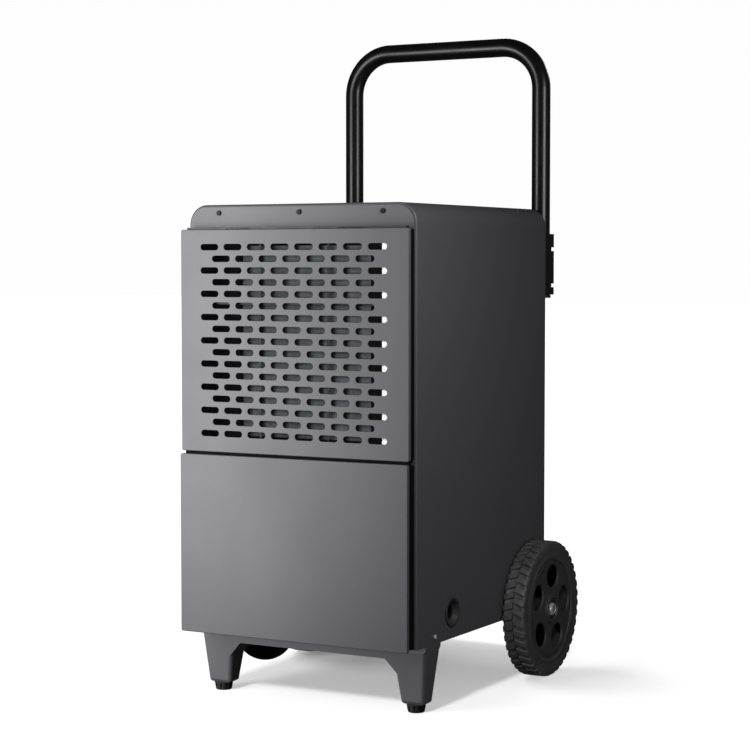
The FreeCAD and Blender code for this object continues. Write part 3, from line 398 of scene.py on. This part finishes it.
def piece(name, bm, body, slot_name, material=None, stands_for=(), corner=0.0):
    """Turn a bmesh into a named piece that rides on a body; corner is a bevel's width in millimetres."""
    bmesh.ops.recalc_face_normals(bm, faces=bm.faces[:])
    mesh = bpy.data.meshes.new(name)
    bm.to_mesh(mesh)
    bm.free()
    obj = bpy.data.objects.new(name, mesh)
    bpy.context.scene.collection.objects.link(obj)
    mesh.materials.append(material or M[slot_name])
    if corner:
        edge = obj.modifiers.new("corners", "BEVEL")
        edge.width = corner * MM
        edge.segments = BEVEL_SEGMENTS
        edge.limit_method = "ANGLE"
        edge.angle_limit = BEVEL_FROM
        edge.harden_normals = False
        edge.use_clamp_overlap = True
    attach(obj, body)
    if stands_for:
        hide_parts(*stands_for)
    return obj


def shade_by_angle(mesh_obj, degrees):
    """Smooth faces, with edges sharper than the angle kept crisp."""
    mesh = mesh_obj.data
    limit = math.radians(degrees)
    bm = bmesh.new()
    bm.from_mesh(mesh)
    for edge in bm.edges:
        edge.smooth = len(edge.link_faces) == 2 and edge.calc_face_angle(0) < limit
    for face in bm.faces:
        face.smooth = True
    bm.to_mesh(mesh)
    bm.free()
    return mesh_obj


def add_box(bm, low, high):
    """Six-sided block between two corners, given in metres."""
    made = bmesh.ops.create_cube(bm, size=1.0)["verts"]
    bmesh.ops.scale(bm, vec=high - low, verts=made)
    bmesh.ops.translate(bm, vec=(low + high) / 2, verts=made)


def add_ring(bm, rings, closed_path=False):
    """Skin a list of point rings, each the same length, with quads; an open path gets end caps."""
    rows = [[bm.verts.new(p) for p in ring] for ring in rings]
    pairs = list(zip(rows, rows[1:])) + ([(rows[-1], rows[0])] if closed_path else [])
    for a, b in pairs:
        for k in range(len(a)):
            n = (k + 1) % len(a)
            bm.faces.new((a[k], a[n], b[n], b[k]))
    if not closed_path:
        bm.faces.new(rows[0][::-1])
        bm.faces.new(rows[-1])


ROUND_STEPS, FINE_STEPS = 96, 144


def add_lathe_x(bm, outline, centre, steps=ROUND_STEPS):
    """Closed (x, radius) outline in millimetres turned about a line along X through centre."""
    rings = []
    for k in range(steps):
        angle = 2 * math.pi * k / steps
        c, s = math.cos(angle), math.sin(angle)
        rings.append([Vector((x * MM, centre.y + r * c * MM, centre.z + r * s * MM)) for x, r in outline])
    add_ring(bm, rings, closed_path=True)


# ---------------------------------------------------------------- wheels
AXLE = (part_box("axle")[0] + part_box("axle")[1]) / 2
TYRE_LOW, TYRE_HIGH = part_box("tyre_right")
TYRE_IN, TYRE_OUT = TYRE_LOW.x / MM, TYRE_HIGH.x / MM
TYRE_R = (TYRE_HIGH.z - TYRE_LOW.z) / 2 / MM
RIM_R = 74.0                       # seat of the tyre on the wheel's centre
LUGS = 40                          # in each of the two rows
SMOOTH_TO = 40                     # degrees between faces that still shade as one
TREAD_SMOOTH_TO = 38


def hand(side):
    """Name of the wheel on a side, 1 for +X and -1 for -X."""
    return "right" if side > 0 else "left"


def tyre(side):
    """Tyre with two rows of slanting lugs that meet, half a pitch apart, at the middle of the tread."""
    mid, half = (TYRE_IN + TYRE_OUT) / 2, (TYRE_OUT - TYRE_IN) / 2
    bm = bmesh.new()
    outer = [(half - 1.2, RIM_R), (half - 0.9, 76.0), (half - 0.2, 77.5), (half - 0.2, 79.5),
             (half - 1.2, 81.0), (half - 1.0, 86.0), (half - 0.3, 91.0), (half - 0.3, 95.0),
             (half - 1.6, 97.4), (half - 4.0, 98.4), (half - 7.5, 97.2), (half - 13.0, 96.8)]
    outline = outer + [(-u, r) for u, r in reversed(outer)]
    add_lathe_x(bm, [(side * (mid + u), r) for u, r in outline], AXLE, FINE_STEPS)
    # (distance from the middle of the tread, radius of the lug's top)
    crown = [(0.9, TYRE_R), (9.0, TYRE_R), (14.2, TYRE_R - 0.2), (16.4, TYRE_R - 1.4), (17.3, TYRE_R - 4.2)]
    root_r, lug_half, lean, upright_at = 95.5, 4.6, 2.6, 7.5
    for row in (-1, 1):
        for k in range(LUGS):
            middle = 2 * math.pi * (k + (0.5 if row > 0 else 0.0)) / LUGS
            rings = []
            for u, top in crown:
                slip = lean * (u - upright_at) / upright_at
                flank = [(root_r, 0.0), (top - 0.6, 0.2), (top, 0.8)]
                ring = [(r, -lug_half + pull) for r, pull in flank]
                ring += [(r, lug_half - pull) for r, pull in reversed(flank)]
                points = []
                for r, v in ring:
                    angle = middle + (v + slip) / TYRE_R
                    points.append(Vector((side * (mid + row * u) * MM, AXLE.y + r * math.cos(angle) * MM,
                                          AXLE.z + r * math.sin(angle) * MM)))
                rings.append(points)
            add_ring(bm, rings)
    name = hand(side)
    obj = piece("tyre_tread_" + name, bm, "wheel_" + name, "tyre_rubber", stands_for=("tyre_" + name,))
    return shade_by_angle(obj, TREAD_SMOOTH_TO)


WINDOWS = 5
WINDOW_START = 81.5                # degrees to the first window's middle
WINDOW_AT, WINDOW_LONG, WINDOW_WIDE = 48.5, 16.5, 20.0
WEB_IN, WEB_OUT, WEB_THICK = 22.0, 67.5, 3.4
LIP_WIDTH, LIP_DEPTH = 2.6, 1.6    # rounded edge of a window
NUT_LONG = 7.0
NUT_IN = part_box("axle_nuts")[1].x / MM - NUT_LONG
HUB_BORE = 9.02
WEB_BACK, DISH, DISH_POWER = 1.1, 0.7, 0.8    # the web's face: behind the tyre's, and dished
PARALLEL = 1e-9
WELD = 0.00002                     # metres between points that become one


def web_face(radius, lip):
    """x of the web's outer face over a radius; lip is 0 at a window's edge and 1 away from it."""
    t = (radius - WEB_IN) / (WEB_OUT - WEB_IN)
    dished = TYRE_OUT - WEB_BACK - DISH * math.sin(math.pi * min(max(t, 0), 1)) ** DISH_POWER
    return dished - LIP_DEPTH * (1 - lip) ** 2


def sector_reach(direction):
    """Distance from a window's middle to the edge of its sector of the web."""
    reach = []
    for radius in (WEB_IN, WEB_OUT):
        b = WINDOW_AT * direction[0]
        q = direction[0] ** 2 + direction[1] ** 2
        under = b * b - q * (WINDOW_AT ** 2 - radius ** 2)
        if under > 0:
            reach += [t for t in ((-b - math.sqrt(under)) / q, (-b + math.sqrt(under)) / q) if t > 0]
    for s in (-1, 1):
        edge = s * math.pi / WINDOWS
        normal = (-math.sin(edge), math.cos(edge))
        away = direction[0] * normal[0] + direction[1] * normal[1]
        if abs(away) > PARALLEL:
            t = -(WINDOW_AT * normal[0]) / away
            if t > 0:
                reach.append(t)
    return min(reach)


def wheel_centre(side):
    """Moulded centre: barrel, web with five oval windows and recessed hub."""
    bm = bmesh.new()
    x0, x1 = TYRE_IN + 1.5, TYRE_OUT - 1.5
    barrel = [(x0, 66.5), (x0 + 6, 65.8), (x1 - 6, 65.8), (x1 - 1.2, 66.5), (x1, 67.6), (x1, 70.2),
              (x1 - 1.0, 71.4), (x1 - 0.6, 73.0), (x1 + 0.5, 73.6), (x1 + 0.5, RIM_R), (x0 - 0.5, RIM_R),
              (x0 - 0.5, 73.4), (x0, 71)]
    add_lathe_x(bm, [(side * x, r) for x, r in barrel], AXLE, FINE_STEPS)
    inner_x, floor_x, lip_x = x0 - 0.9, NUT_IN - 1.8, NUT_IN + 5.6
    hub = [(inner_x, HUB_BORE), (floor_x, HUB_BORE), (floor_x, 15.6), (lip_x - 0.9, 16.1), (lip_x, 16.9),
           (lip_x, 19.2), (lip_x - 1.1, 20.4), (TYRE_OUT - 0.6, 22.4), (TYRE_OUT - 1.4, 24.6),
           (TYRE_OUT - 5, 24.6), (inner_x, 22.5)]
    add_lathe_x(bm, [(side * x, r) for x, r in hub], AXLE)
    # grid over each sector: rays out of the window's middle, points from its edge to the sector's
    around, rows = 64, [0.0, 0.06, 0.14, 0.26, 0.45, 0.7, 1.0]
    for step in range(WINDOWS):
        turn = math.radians(WINDOW_START + 360 / WINDOWS * step)
        front, back = [], []
        for k in range(around):
            a = 2 * math.pi * k / around
            ex, ey = WINDOW_AT + WINDOW_LONG * math.cos(a), WINDOW_WIDE * math.sin(a)
            direction = (math.cos(a), math.sin(a))
            t = sector_reach(direction)
            bx, by = WINDOW_AT + t * direction[0], t * direction[1]
            line_front, line_back = [], []
            for share in rows:
                px, py = ex + (bx - ex) * share, ey + (by - ey) * share
                radius = math.hypot(px, py)
                gap = math.hypot(px - ex, py - ey)
                x = web_face(radius, min(gap / LIP_WIDTH, 1.0))
                angle = math.atan2(py, px) + turn
                y, z = AXLE.y + radius * math.cos(angle) * MM, AXLE.z + radius * math.sin(angle) * MM
                line_front.append(Vector((side * x * MM, y, z)))
                line_back.append(Vector((side * (web_face(radius, 1.0) - WEB_THICK) * MM, y, z)))
            front.append(line_front)
            back.append(line_back)
        front = [[bm.verts.new(p) for p in row] for row in front]
        back = [[bm.verts.new(p) for p in row] for row in back]
        for k in range(around):
            n = (k + 1) % around
            for j in range(len(rows) - 1):
                bm.faces.new((front[k][j], front[n][j], front[n][j + 1], front[k][j + 1]))
                bm.faces.new((back[k][j], back[k][j + 1], back[n][j + 1], back[n][j]))
            bm.faces.new((front[k][0], back[k][0], back[n][0], front[n][0]))
    bmesh.ops.remove_doubles(bm, verts=bm.verts[:], dist=WELD)
    name = hand(side)
    obj = piece("wheel_centre_" + name, bm, "wheel_" + name, "black_plastic", RIM_PLASTIC, ("rim_" + name,))
    return shade_by_angle(obj, SMOOTH_TO)


def wheel_back(side):
    """Closed back of the wheel centre, with a raised ring where it meets the hub."""
    x0 = TYRE_IN + 6.0
    outline = [(x0, 23.0), (x0 + 4.6, 23.0), (x0 + 4.6, 26.0), (x0 + 3.0, 28.5), (x0 + 3.0, 63.0),
               (x0 + 4.4, 65.9), (x0, 65.9)]
    bm = bmesh.new()
    add_lathe_x(bm, [(side * x, r) for x, r in outline], AXLE)
    name = hand(side)
    obj = piece("wheel_back_" + name, bm, "wheel_" + name, "black_plastic", BLACK_AND_GAP_SHADE)
    return shade_by_angle(obj, SMOOTH_TO)


for side in (1, -1):
    tyre(side)
    wheel_centre(side)
    wheel_back(side)


# ---------------------------------------------------------------- coils and filter behind the grille
def fin_pack(node):
    """Thin corrugated fins over the width of the CAD block."""
    low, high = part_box(node)
    bm = bmesh.new()
    pitch, thick, wave, bends, first = 0.0021, 0.00022, 0.00028, 16, 0.0006
    count = int((high.x - low.x) / pitch)
    for k in range(count):
        x = low.x + first + k * pitch
        rows = []
        for j in range(bends + 1):
            y = low.y + (high.y - low.y) * j / bends
            sway = wave * (1 if j % 2 else -1) if 0 < j < bends else 0
            rows.append([Vector((x + sway, y, low.z)), Vector((x + sway + thick, y, low.z)),
                         Vector((x + sway + thick, y, high.z)), Vector((x + sway, y, high.z))])
        add_ring(bm, rows)
    return piece(node + "_thin", bm, "chassis", "fin_aluminium", stands_for=(node,))


for node in ("evaporator_fins", "condenser_fins"):
    fin_pack(node)


def filter_net():
    """Woven net: strands both ways, the uprights a thread's width in front."""
    low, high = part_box("filter_mesh")
    bm = bmesh.new()
    pitch, thread = 0.0018, 0.00024
    half = thread / 2
    middle = (low.y + high.y) / 2
    for k in range(int((high.x - low.x) / pitch) + 1):
        x = low.x + k * pitch
        add_box(bm, Vector((x - half, middle - thread, low.z)), Vector((x + half, middle, high.z)))
    for k in range(int((high.z - low.z) / pitch) + 1):
        z = low.z + k * pitch
        add_box(bm, Vector((low.x, middle, z - half)), Vector((high.x, middle + thread, z + half)))
    return piece("filter_net", bm, "filter", "filter_net", stands_for=("filter_mesh",))


filter_net()


def seam_strip():
    """Black moulded strip that closes the gap behind the seam between the two front panels; its near-black
    paints the shade in that gap.
    """
    carrier, spacer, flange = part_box("filter_carrier"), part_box("lower_spacer"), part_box("grille_panel")
    behind, clear, depth, wall, edge = 0.2, 0.25, 3.4, 1.8, 0.5
    front = (flange[1].y - FRONT_Y) / MM + behind
    z0, z1 = spacer[1].z / MM + clear, carrier[0].z / MM - clear
    section = [(front + depth, z0), (front + edge, z0), (front, z0 + edge), (front, z1 - edge),
               (front + edge, z1), (front + depth, z1), (front + depth, z1 - 1.6), (front + wall, z1 - 2.2),
               (front + wall, z0 + 2.2), (front + depth, z0 + 1.6)]
    x0, x1 = carrier[0].x / MM, carrier[1].x / MM
    bm = bmesh.new()
    add_ring(bm, [[mm(x, y, z) for y, z in section] for x in (x0, x0 / 3, x1 / 3, x1)])
    return piece("seam_strip", bm, "chassis", "black_plastic", BLACK_AND_GAP_SHADE, corner=0.2)


seam_strip()


# ---------------------------------------------------------------- fan
def fan():
    """Five swept, twisted blades with thick roots, on a cupped hub and its shaft."""
    low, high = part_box("fan_impeller")
    motor_low, motor_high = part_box("fan_motor")
    centre = Vector(((low.x + high.x) / 2, 0.0, (motor_low.z + motor_high.z) / 2))
    y0 = low.y / MM
    blades, tip, hub_r, hub_long, shaft_r, shaft_long = 5, 113.0, 36.0, 34.0, 4.0, 64.0
    bm = bmesh.new()

    def turned(outline, steps=72):
        """Closed (y, radius) outline turned about the fan's axis."""
        rings = []
        for k in range(steps):
            a = 2 * math.pi * k / steps
            rings.append([Vector((centre.x + r * math.cos(a) * MM, y * MM, centre.z + r * math.sin(a) * MM))
                          for y, r in outline])
        add_ring(bm, rings, closed_path=True)

    turned([(y0 + 2.0, shaft_r), (y0 + 1.0, 10.0), (y0 + 0.2, 24.0), (y0 + 0.6, 31.0),
            (y0 + 3.5, hub_r - 1.2), (y0 + 6.0, hub_r), (y0 + hub_long, hub_r), (y0 + hub_long, hub_r - 3),
            (y0 + 7.0, hub_r - 3), (y0 + 4.0, hub_r - 6), (y0 + 4.0, 9.0), (y0 + 30.0, 9.0),
            (y0 + 30.0, shaft_r)])
    shaft_y0, shaft_y1 = y0 + 2.4, y0 + shaft_long
    turned([(shaft_y0, 0.4), (shaft_y1, 0.4), (shaft_y1, shaft_r), (shaft_y0, shaft_r)], steps=32)
    radial, across = 14, 10
    root, rounded_from = 1.5, 0.86
    for step in range(blades):
        rows = []
        for i in range(radial + 1):
            t = i / radial
            r = hub_r - root + (tip - hub_r + root) * t
            late = max(t - rounded_from, 0) / (1 - rounded_from)
            half = math.radians(27.0 - 6.0 * t - 13.0 * late * late)
            sweep = math.radians(4.0 + 12.0 * t * t)
            rise = 12.5 - 4.0 * t
            thick = 2.6 - 1.4 * t
            front, rear = [], []
            for j in range(across + 1):
                u = 2.0 * j / across - 1.0
                a = 2 * math.pi * step / blades + sweep + half * u
                swell = thick * (0.12 + 0.38 * ((1 - u * u) ** 0.5 if abs(u) < 1 else 0.0))
                y = y0 + hub_long / 2 + rise * u + 1.8 * (1 - u * u)
                x, z = centre.x + r * math.cos(a) * MM, centre.z + r * math.sin(a) * MM
                front.append(Vector((x, (y - swell) * MM, z)))
                rear.append(Vector((x, (y + swell) * MM, z)))
            rows.append(front + rear[::-1])
        add_ring(bm, rows)
    obj = piece("fan_blades", bm, "fan", "nylon", stands_for=("fan_impeller",))
    return shade_by_angle(obj, SMOOTH_TO)


fan()


# ---------------------------------------------------------------- water tank's outer face
def rounded_loop(x0, x1, z0, z1, radius, y, steps=8):
    """Points of a rounded rectangle at one y, lengths in millimetres."""
    points = []
    for cx, cz, start in ((x1 - radius, z1 - radius, 0), (x0 + radius, z1 - radius, 90),
                          (x0 + radius, z0 + radius, 180), (x1 - radius, z0 + radius, 270)):
        for k in range(steps + 1):
            a = math.radians(start + 90 * k / steps)
            points.append(mm(cx + radius * math.cos(a), y, cz + radius * math.sin(a)))
    return points


def tank_trim():
    """Raised border, rim of the finger pull, ribs, and a level window with its scale."""
    low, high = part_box("water_tank")
    x0, x1, z0, z1 = low.x / MM, high.x / MM, low.z / MM, high.z / MM
    face = (high.y - FRONT_Y) / MM
    sunk = face - 0.4
    bm = bmesh.new()

    def frame_of(a0, a1, b0, b1, radius, width, rise, lean=0.7):
        """Raised rounded frame, its sides leaning in towards the top."""
        top = width - lean
        rings = [rounded_loop(a0, a1, b0, b1, radius, sunk),
                 rounded_loop(a0 + lean, a1 - lean, b0 + lean, b1 - lean, radius - lean / 2, face + rise),
                 rounded_loop(a0 + top, a1 - top, b0 + top, b1 - top, max(radius - top, 0.6), face + rise),
                 rounded_loop(a0 + width, a1 - width, b0 + width, b1 - width, max(radius - width, 0.5), sunk)]
        add_ring(bm, rings, closed_path=True)

    border = 7
    frame_of(x0 + border, x1 - border, z0 + border, z1 - border, radius=9.0, width=3.4, rise=1.6)
    finger_pull = (-54.5, 54.5, 251.5, 306.5)
    frame_of(*finger_pull, radius=12.0, width=4.2, rise=2.4, lean=1.1)
    ribs, rib_pitch, rib_height, lean = 4, 15, 4.2, 0.8
    for k in range(ribs):
        a0, a1, b0 = x0 + 24, x1 - 76, z0 + 26 + rib_pitch * k
        b1 = b0 + rib_height
        add_ring(bm, [rounded_loop(a0, a1, b0, b1, 2.05, sunk),
                      rounded_loop(a0 + lean, a1 - lean, b0 + lean, b1 - lean, 1.25, face + 1.2)])
    window = (x1 - 50, x1 - 28, z0 + 24, z0 + 104)
    frame_of(*window, radius=8.0, width=3.2, rise=1.9, lean=0.8)
    piece("tank_border", bm, "tank", "tank_plastic", corner=0.3)

    bm = bmesh.new()
    a0, a1, b0, b1 = window
    loops = [rounded_loop(a0 + inset, a1 - inset, b0 + inset, b1 - inset, radius, face + rise)
             for inset, radius, rise in ((2.8, 5.4, -0.3), (3.2, 5.0, 0.5), (4.6, 3.8, 0.8))]
    add_ring(bm, loops)
    piece("tank_level_window", bm, "tank", "display")
    bm = bmesh.new()
    marks, mark_pitch, mark_end = 9, 7.6, x1 - 33.6
    for k in range(marks):
        long = 7.5 if k % 4 == 0 else 4.5
        z = z0 + 33 + mark_pitch * k
        add_box(bm, mm(mark_end - long, face + 0.7, z), mm(mark_end, face + 0.95, z + 0.7))
    piece("tank_level_scale", bm, "tank", "button_plastic", LEGEND)


tank_trim()


# ---------------------------------------------------------------- control panel marks
MARK_RISE = 0.1


def strokes(name, lines, top, body, width=0.8, slot_name="button_plastic", material=LEGEND):
    """Raised marks: each line is a list of (x, y) points in millimetres."""
    bm = bmesh.new()
    for points in lines:
        for (ax, ay), (bx, by) in zip(points, points[1:]):
            run = math.hypot(bx - ax, by - ay)
            dx, dy = (bx - ax) / run * width / 2, (by - ay) / run * width / 2
            corners = [(ax - dx + dy, ay - dy - dx), (ax - dx - dy, ay - dy + dx),
                       (bx + dx - dy, by + dy + dx), (bx + dx + dy, by + dy - dx)]
            add_ring(bm, [[mm(x, y, z) for x, y in corners] for z in (top, top + MARK_RISE)])
    return piece(name, bm, body, slot_name, material)


def middle_of(node):
    """x and y of a node's middle as mm() takes them."""
    low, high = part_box(node)
    return (low.x + high.x) / 2 / MM, ((low.y + high.y) / 2 - FRONT_Y) / MM


def panel_marks():
    """Generic marks on the four buttons, and two plain digits in the display."""
    centres = {}
    dished = 0.25
    for node in ("button_power", "button_mode", "button_up", "button_down"):
        centres[node] = (*middle_of(node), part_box(node)[1].z / MM - dished)
    x, y, z = centres["button_power"]
    power_r = 3.4
    arc = [(x + power_r * math.sin(math.radians(a)), y + power_r * math.cos(math.radians(a)))
           for a in range(40, 321, 20)]
    strokes("mark_power", [arc, [(x, y + 0.8), (x, y + 4.4)]], z, "button_power")
    x, y, z = centres["button_mode"]
    flank = [(1.9, 0.9), (2.5, -0.9), (1.9, -2.6)]
    drop = [(x, y + 4.2)] + [(x + dx, y + dy) for dx, dy in flank] + [(x, y - 3.5)]
    drop += [(x - dx, y + dy) for dx, dy in reversed(flank)] + [(x, y + 4.2)]
    strokes("mark_mode", [drop], z, "button_mode", width=0.7)
    for way, sign in (("up", 1), ("down", -1)):
        x, y, z = centres["button_" + way]
        arrow = [(x - 3.2, y - 1.8 * sign), (x, y + 2.2 * sign), (x + 3.2, y - 1.8 * sign)]
        strokes("mark_" + way, [arrow], z, "button_" + way, width=1.0)
    middle, line = middle_of("display_lens")
    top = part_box("display_lens")[1].z / MM - 0.02
    half_width, height, gap = 4.6, 6.6, 0.7
    upper, lower = (line + gap, line + height - gap), (line - height + gap, line - gap)
    digits = []
    for at in (middle - 9.5, middle + 3.5):
        left, right = at - half_width, at + half_width
        digits += [[(left + gap, y), (right - gap, y)] for y in (line + height, line, line - height)]
        digits += [[(x, y) for y in span] for x, span in ((left, upper), (left, lower), (right, lower))]
    digits += [[(right, y) for y in upper]]
    strokes("display_digits", digits, top, "chassis", width=1.1, slot_name="display", material=SEGMENT)


panel_marks()


# ---------------------------------------------------------------- floor, lights and camera
FLOOR_HALF = 30.0


def floor():
    """Plain pale floor that neither lights the object nor shows in its gloss."""
    bm = bmesh.new()
    bmesh.ops.create_grid(bm, x_segments=40, y_segments=40, size=FLOOR_HALF)
    mesh = bpy.data.meshes.new("studio_floor")
    bm.to_mesh(mesh)
    bm.free()
    obj = bpy.data.objects.new("studio_floor", mesh)
    bpy.context.scene.collection.objects.link(obj)
    mat, tree, shader = tree_of("studio_floor")
    spot = coordinates(tree)
    slow = noise(tree, spot, 2.0, detail=3.0)
    base_colour(tree, shader, slow, (0.81, 0.81, 0.81), (0.82, 0.82, 0.82))
    shader.inputs["Roughness"].default_value = 0.9
    shader.inputs["Specular IOR Level"].default_value = 0.1
    mesh.materials.append(mat)
    obj.visible_diffuse = False
    obj.visible_glossy = False
    return obj


def aim(name, lamp, toward):
    """Put a lamp in the scene and turn it to shine along toward."""
    obj = bpy.data.objects.new(name, lamp)
    bpy.context.scene.collection.objects.link(obj)
    obj.rotation_euler = Vector(toward).to_track_quat("-Z", "Y").to_euler()
    return obj


def area(name, place, target, size, power):
    """Soft rectangular lamp at place that faces target."""
    lamp = bpy.data.lights.new(name, "AREA")
    lamp.shape = "RECTANGLE"
    lamp.size, lamp.size_y = size
    lamp.energy = power
    obj = aim(name, lamp, Vector(target) - Vector(place))
    obj.location = place
    return obj


def sun(name, toward, strength, width):
    """Sun whose width, in degrees, sets how soft its shadows are."""
    lamp = bpy.data.lights.new(name, "SUN")
    lamp.energy = strength
    lamp.angle = math.radians(width)
    return aim(name, lamp, toward)


def gathered(name, members):
    """New collection of these members, for light linking."""
    group = bpy.data.collections.new(name)
    for obj in members:
        group.objects.link(obj)
    return group


def linked(lamp, members):
    """Make the lamp light these members alone."""
    group = gathered(lamp.name + "_group", members)
    lamp.light_linking.receiver_collection = group
    return group


def floor_sun(name, toward, strength, width, blockers):
    """Sun that lights the floor alone and is stopped by the blockers alone."""
    lamp = sun(name, toward, strength, width)
    linked(lamp, [GROUND])
    lamp.light_linking.blocker_collection = gathered(name + "_blockers", blockers)


def named(*starts):
    """Objects whose names start with any of these."""
    return [obj for obj in bpy.data.objects if obj.name.startswith(starts)]


GROUND = floor()
INNER = named("evaporator_fins", "condenser_fins", "foam_liner", "filter_net", "coil_end_plates",
              "coil_tubes")
TUBE = named("handle_tube", "handle_end_caps")
WHEELS = named("tyre_", "wheel_", "axle_nuts", "rim_")
LEGS = named("front_leg_bar", "rubber_feet")
LOW_BODY = named("base_pan", "sump", "lower_spacer")
NUTS = named("axle_nuts", "screws_bright")
TYRES = named("tyre_")
FOAM = named("foam_liner")

# name, place, target, size, power; these light all but the floor, the handle and what is behind the slots
BODY_LAMPS = (
    ("key", (-0.42, -0.72, 0.46), (-0.1, -0.24, 0.42), (0.25, 0.92), 8.0),
    ("fill", (0.62, -0.50, 0.90), (0.18, -0.05, 0.45), (0.25, 0.25), 3.0),
    ("side_low", (1.2, -0.35, 0.22), (0.2, 0.0, 0.12), (0.5, 0.3), 0.95),
    ("back", (-0.9, 2.1, 1.0), (0.0, 0.2, 0.4), (1.2, 1.0), 26.0),
)
for row in BODY_LAMPS:
    lamp = area(*row)
    group = linked(lamp, [GROUND] + TUBE + INNER)
    for child in group.collection_objects:
        child.light_linking.link_state = "EXCLUDE"
bpy.data.objects["back"].visible_glossy = False

# name, place, target, size, power, and the pieces that it lights
PART_LAMPS = (
    ("wheel_light", (1.2, -0.75, 0.32), (0.2, 0.14, 0.1), (0.5, 0.4), 3.2, WHEELS),
    ("leg_light", (-0.45, -0.95, 0.12), (0.0, -0.2, 0.05), (0.5, 0.15), 3.4, LEGS),
    ("tread_light", (0.30, -1.9, 1.1), (0.2, 0.1, 0.1), (0.5, 0.3), 20.0, TYRES),
    ("nut_light", (2.0, -1.6, 0.5), (0.22, 0.14, 0.1), (0.4, 0.4), 14.0, NUTS),
    ("tube_front", (-0.68, -1.35, 0.73), (0.0, 0.2, 0.8), (0.35, 0.6), 9.5, TUBE),
    ("tube_side", (1.6, -0.42, 0.78), (0.0, 0.2, 0.8), (0.25, 0.6), 10.0, TUBE),
    ("tube_back", (0.5, 2.8, 1.7), (0.0, 0.2, 0.8), (0.3, 0.3), 9.0, TUBE),
    ("coil_light", (0.75, -1.9, 0.62), (0.0, -0.1, 0.51), (0.25, 0.25), 36.0, INNER),
    ("foam_light", (0.9, -1.9, 0.62), (0.0, -0.1, 0.51), (0.25, 0.25), 60.0, FOAM),
)
for *lamp, members in PART_LAMPS:
    linked(area(*lamp), members)

# name, toward, strength, width in degrees, and the low parts whose shadow the sun throws on the floor
floor_sun("under_sun", (-0.1, 1.3, -1.0), 2.3, 7.0, LEGS + LOW_BODY)
floor_sun("side_sun", (0.7, 1.2, -1.0), 0.9, 22.0, WHEELS + LEGS + LOW_BODY)
floor_sun("wheel_sun", (1.1, 0.1, -1.0), 1.5, 44.0, WHEELS)
linked(sun("floor_sky", (0.0, 0.0, -1.0), 0.6, 160.0), [GROUND])
BOUNCE = sun("floor_bounce", (0.0, 0.0, -1.0), 0.9, 30.0)
BOUNCE.data.use_shadow = False
linked(BOUNCE, [GROUND])

AMBIENT, BACKDROP = 0.035, 0.99    # light from all round, and the grey that the camera sees


def studio_world():
    """White backdrop for the camera, and only a faint light on the object."""
    world = bpy.data.worlds.new("studio")
    world.use_nodes = True
    tree = world.node_tree
    tree.nodes.clear()
    out = tree.nodes.new("ShaderNodeOutputWorld")
    mix = tree.nodes.new("ShaderNodeMixShader")
    path = tree.nodes.new("ShaderNodeLightPath")
    dim = tree.nodes.new("ShaderNodeBackground")
    white = tree.nodes.new("ShaderNodeBackground")
    dim.inputs["Color"].default_value = (1, 1, 1, 1)
    dim.inputs["Strength"].default_value = AMBIENT
    white.inputs["Color"].default_value = (BACKDROP, BACKDROP, BACKDROP, 1)
    link(tree, path.outputs["Is Camera Ray"], mix.inputs[0])
    link(tree, dim.outputs[0], mix.inputs[1])
    link(tree, white.outputs[0], mix.inputs[2])
    link(tree, mix.outputs[0], out.inputs[0])
    bpy.context.scene.world = world
    bpy.context.scene.view_settings.view_transform = "Standard"


studio_world()

CAMERA_AT = mm(1461.4, -2408.0, 614.4)
YAW, PITCH = math.radians(29.143), math.radians(3.109)
SENSOR_WIDTH, FOCAL_LENGTH = 36.0, 98.05
FAR_CLIP = 200.0
camera = bpy.data.cameras.new("camera")
camera.sensor_width = SENSOR_WIDTH
camera.lens = FOCAL_LENGTH
camera.clip_end = FAR_CLIP
camera_object = bpy.data.objects.new("camera", camera)
bpy.context.scene.collection.objects.link(camera_object)
camera_object.location = CAMERA_AT
camera_object.rotation_euler = (math.pi / 2 - PITCH, 0.0, YAW)
bpy.context.scene.camera = camera_object
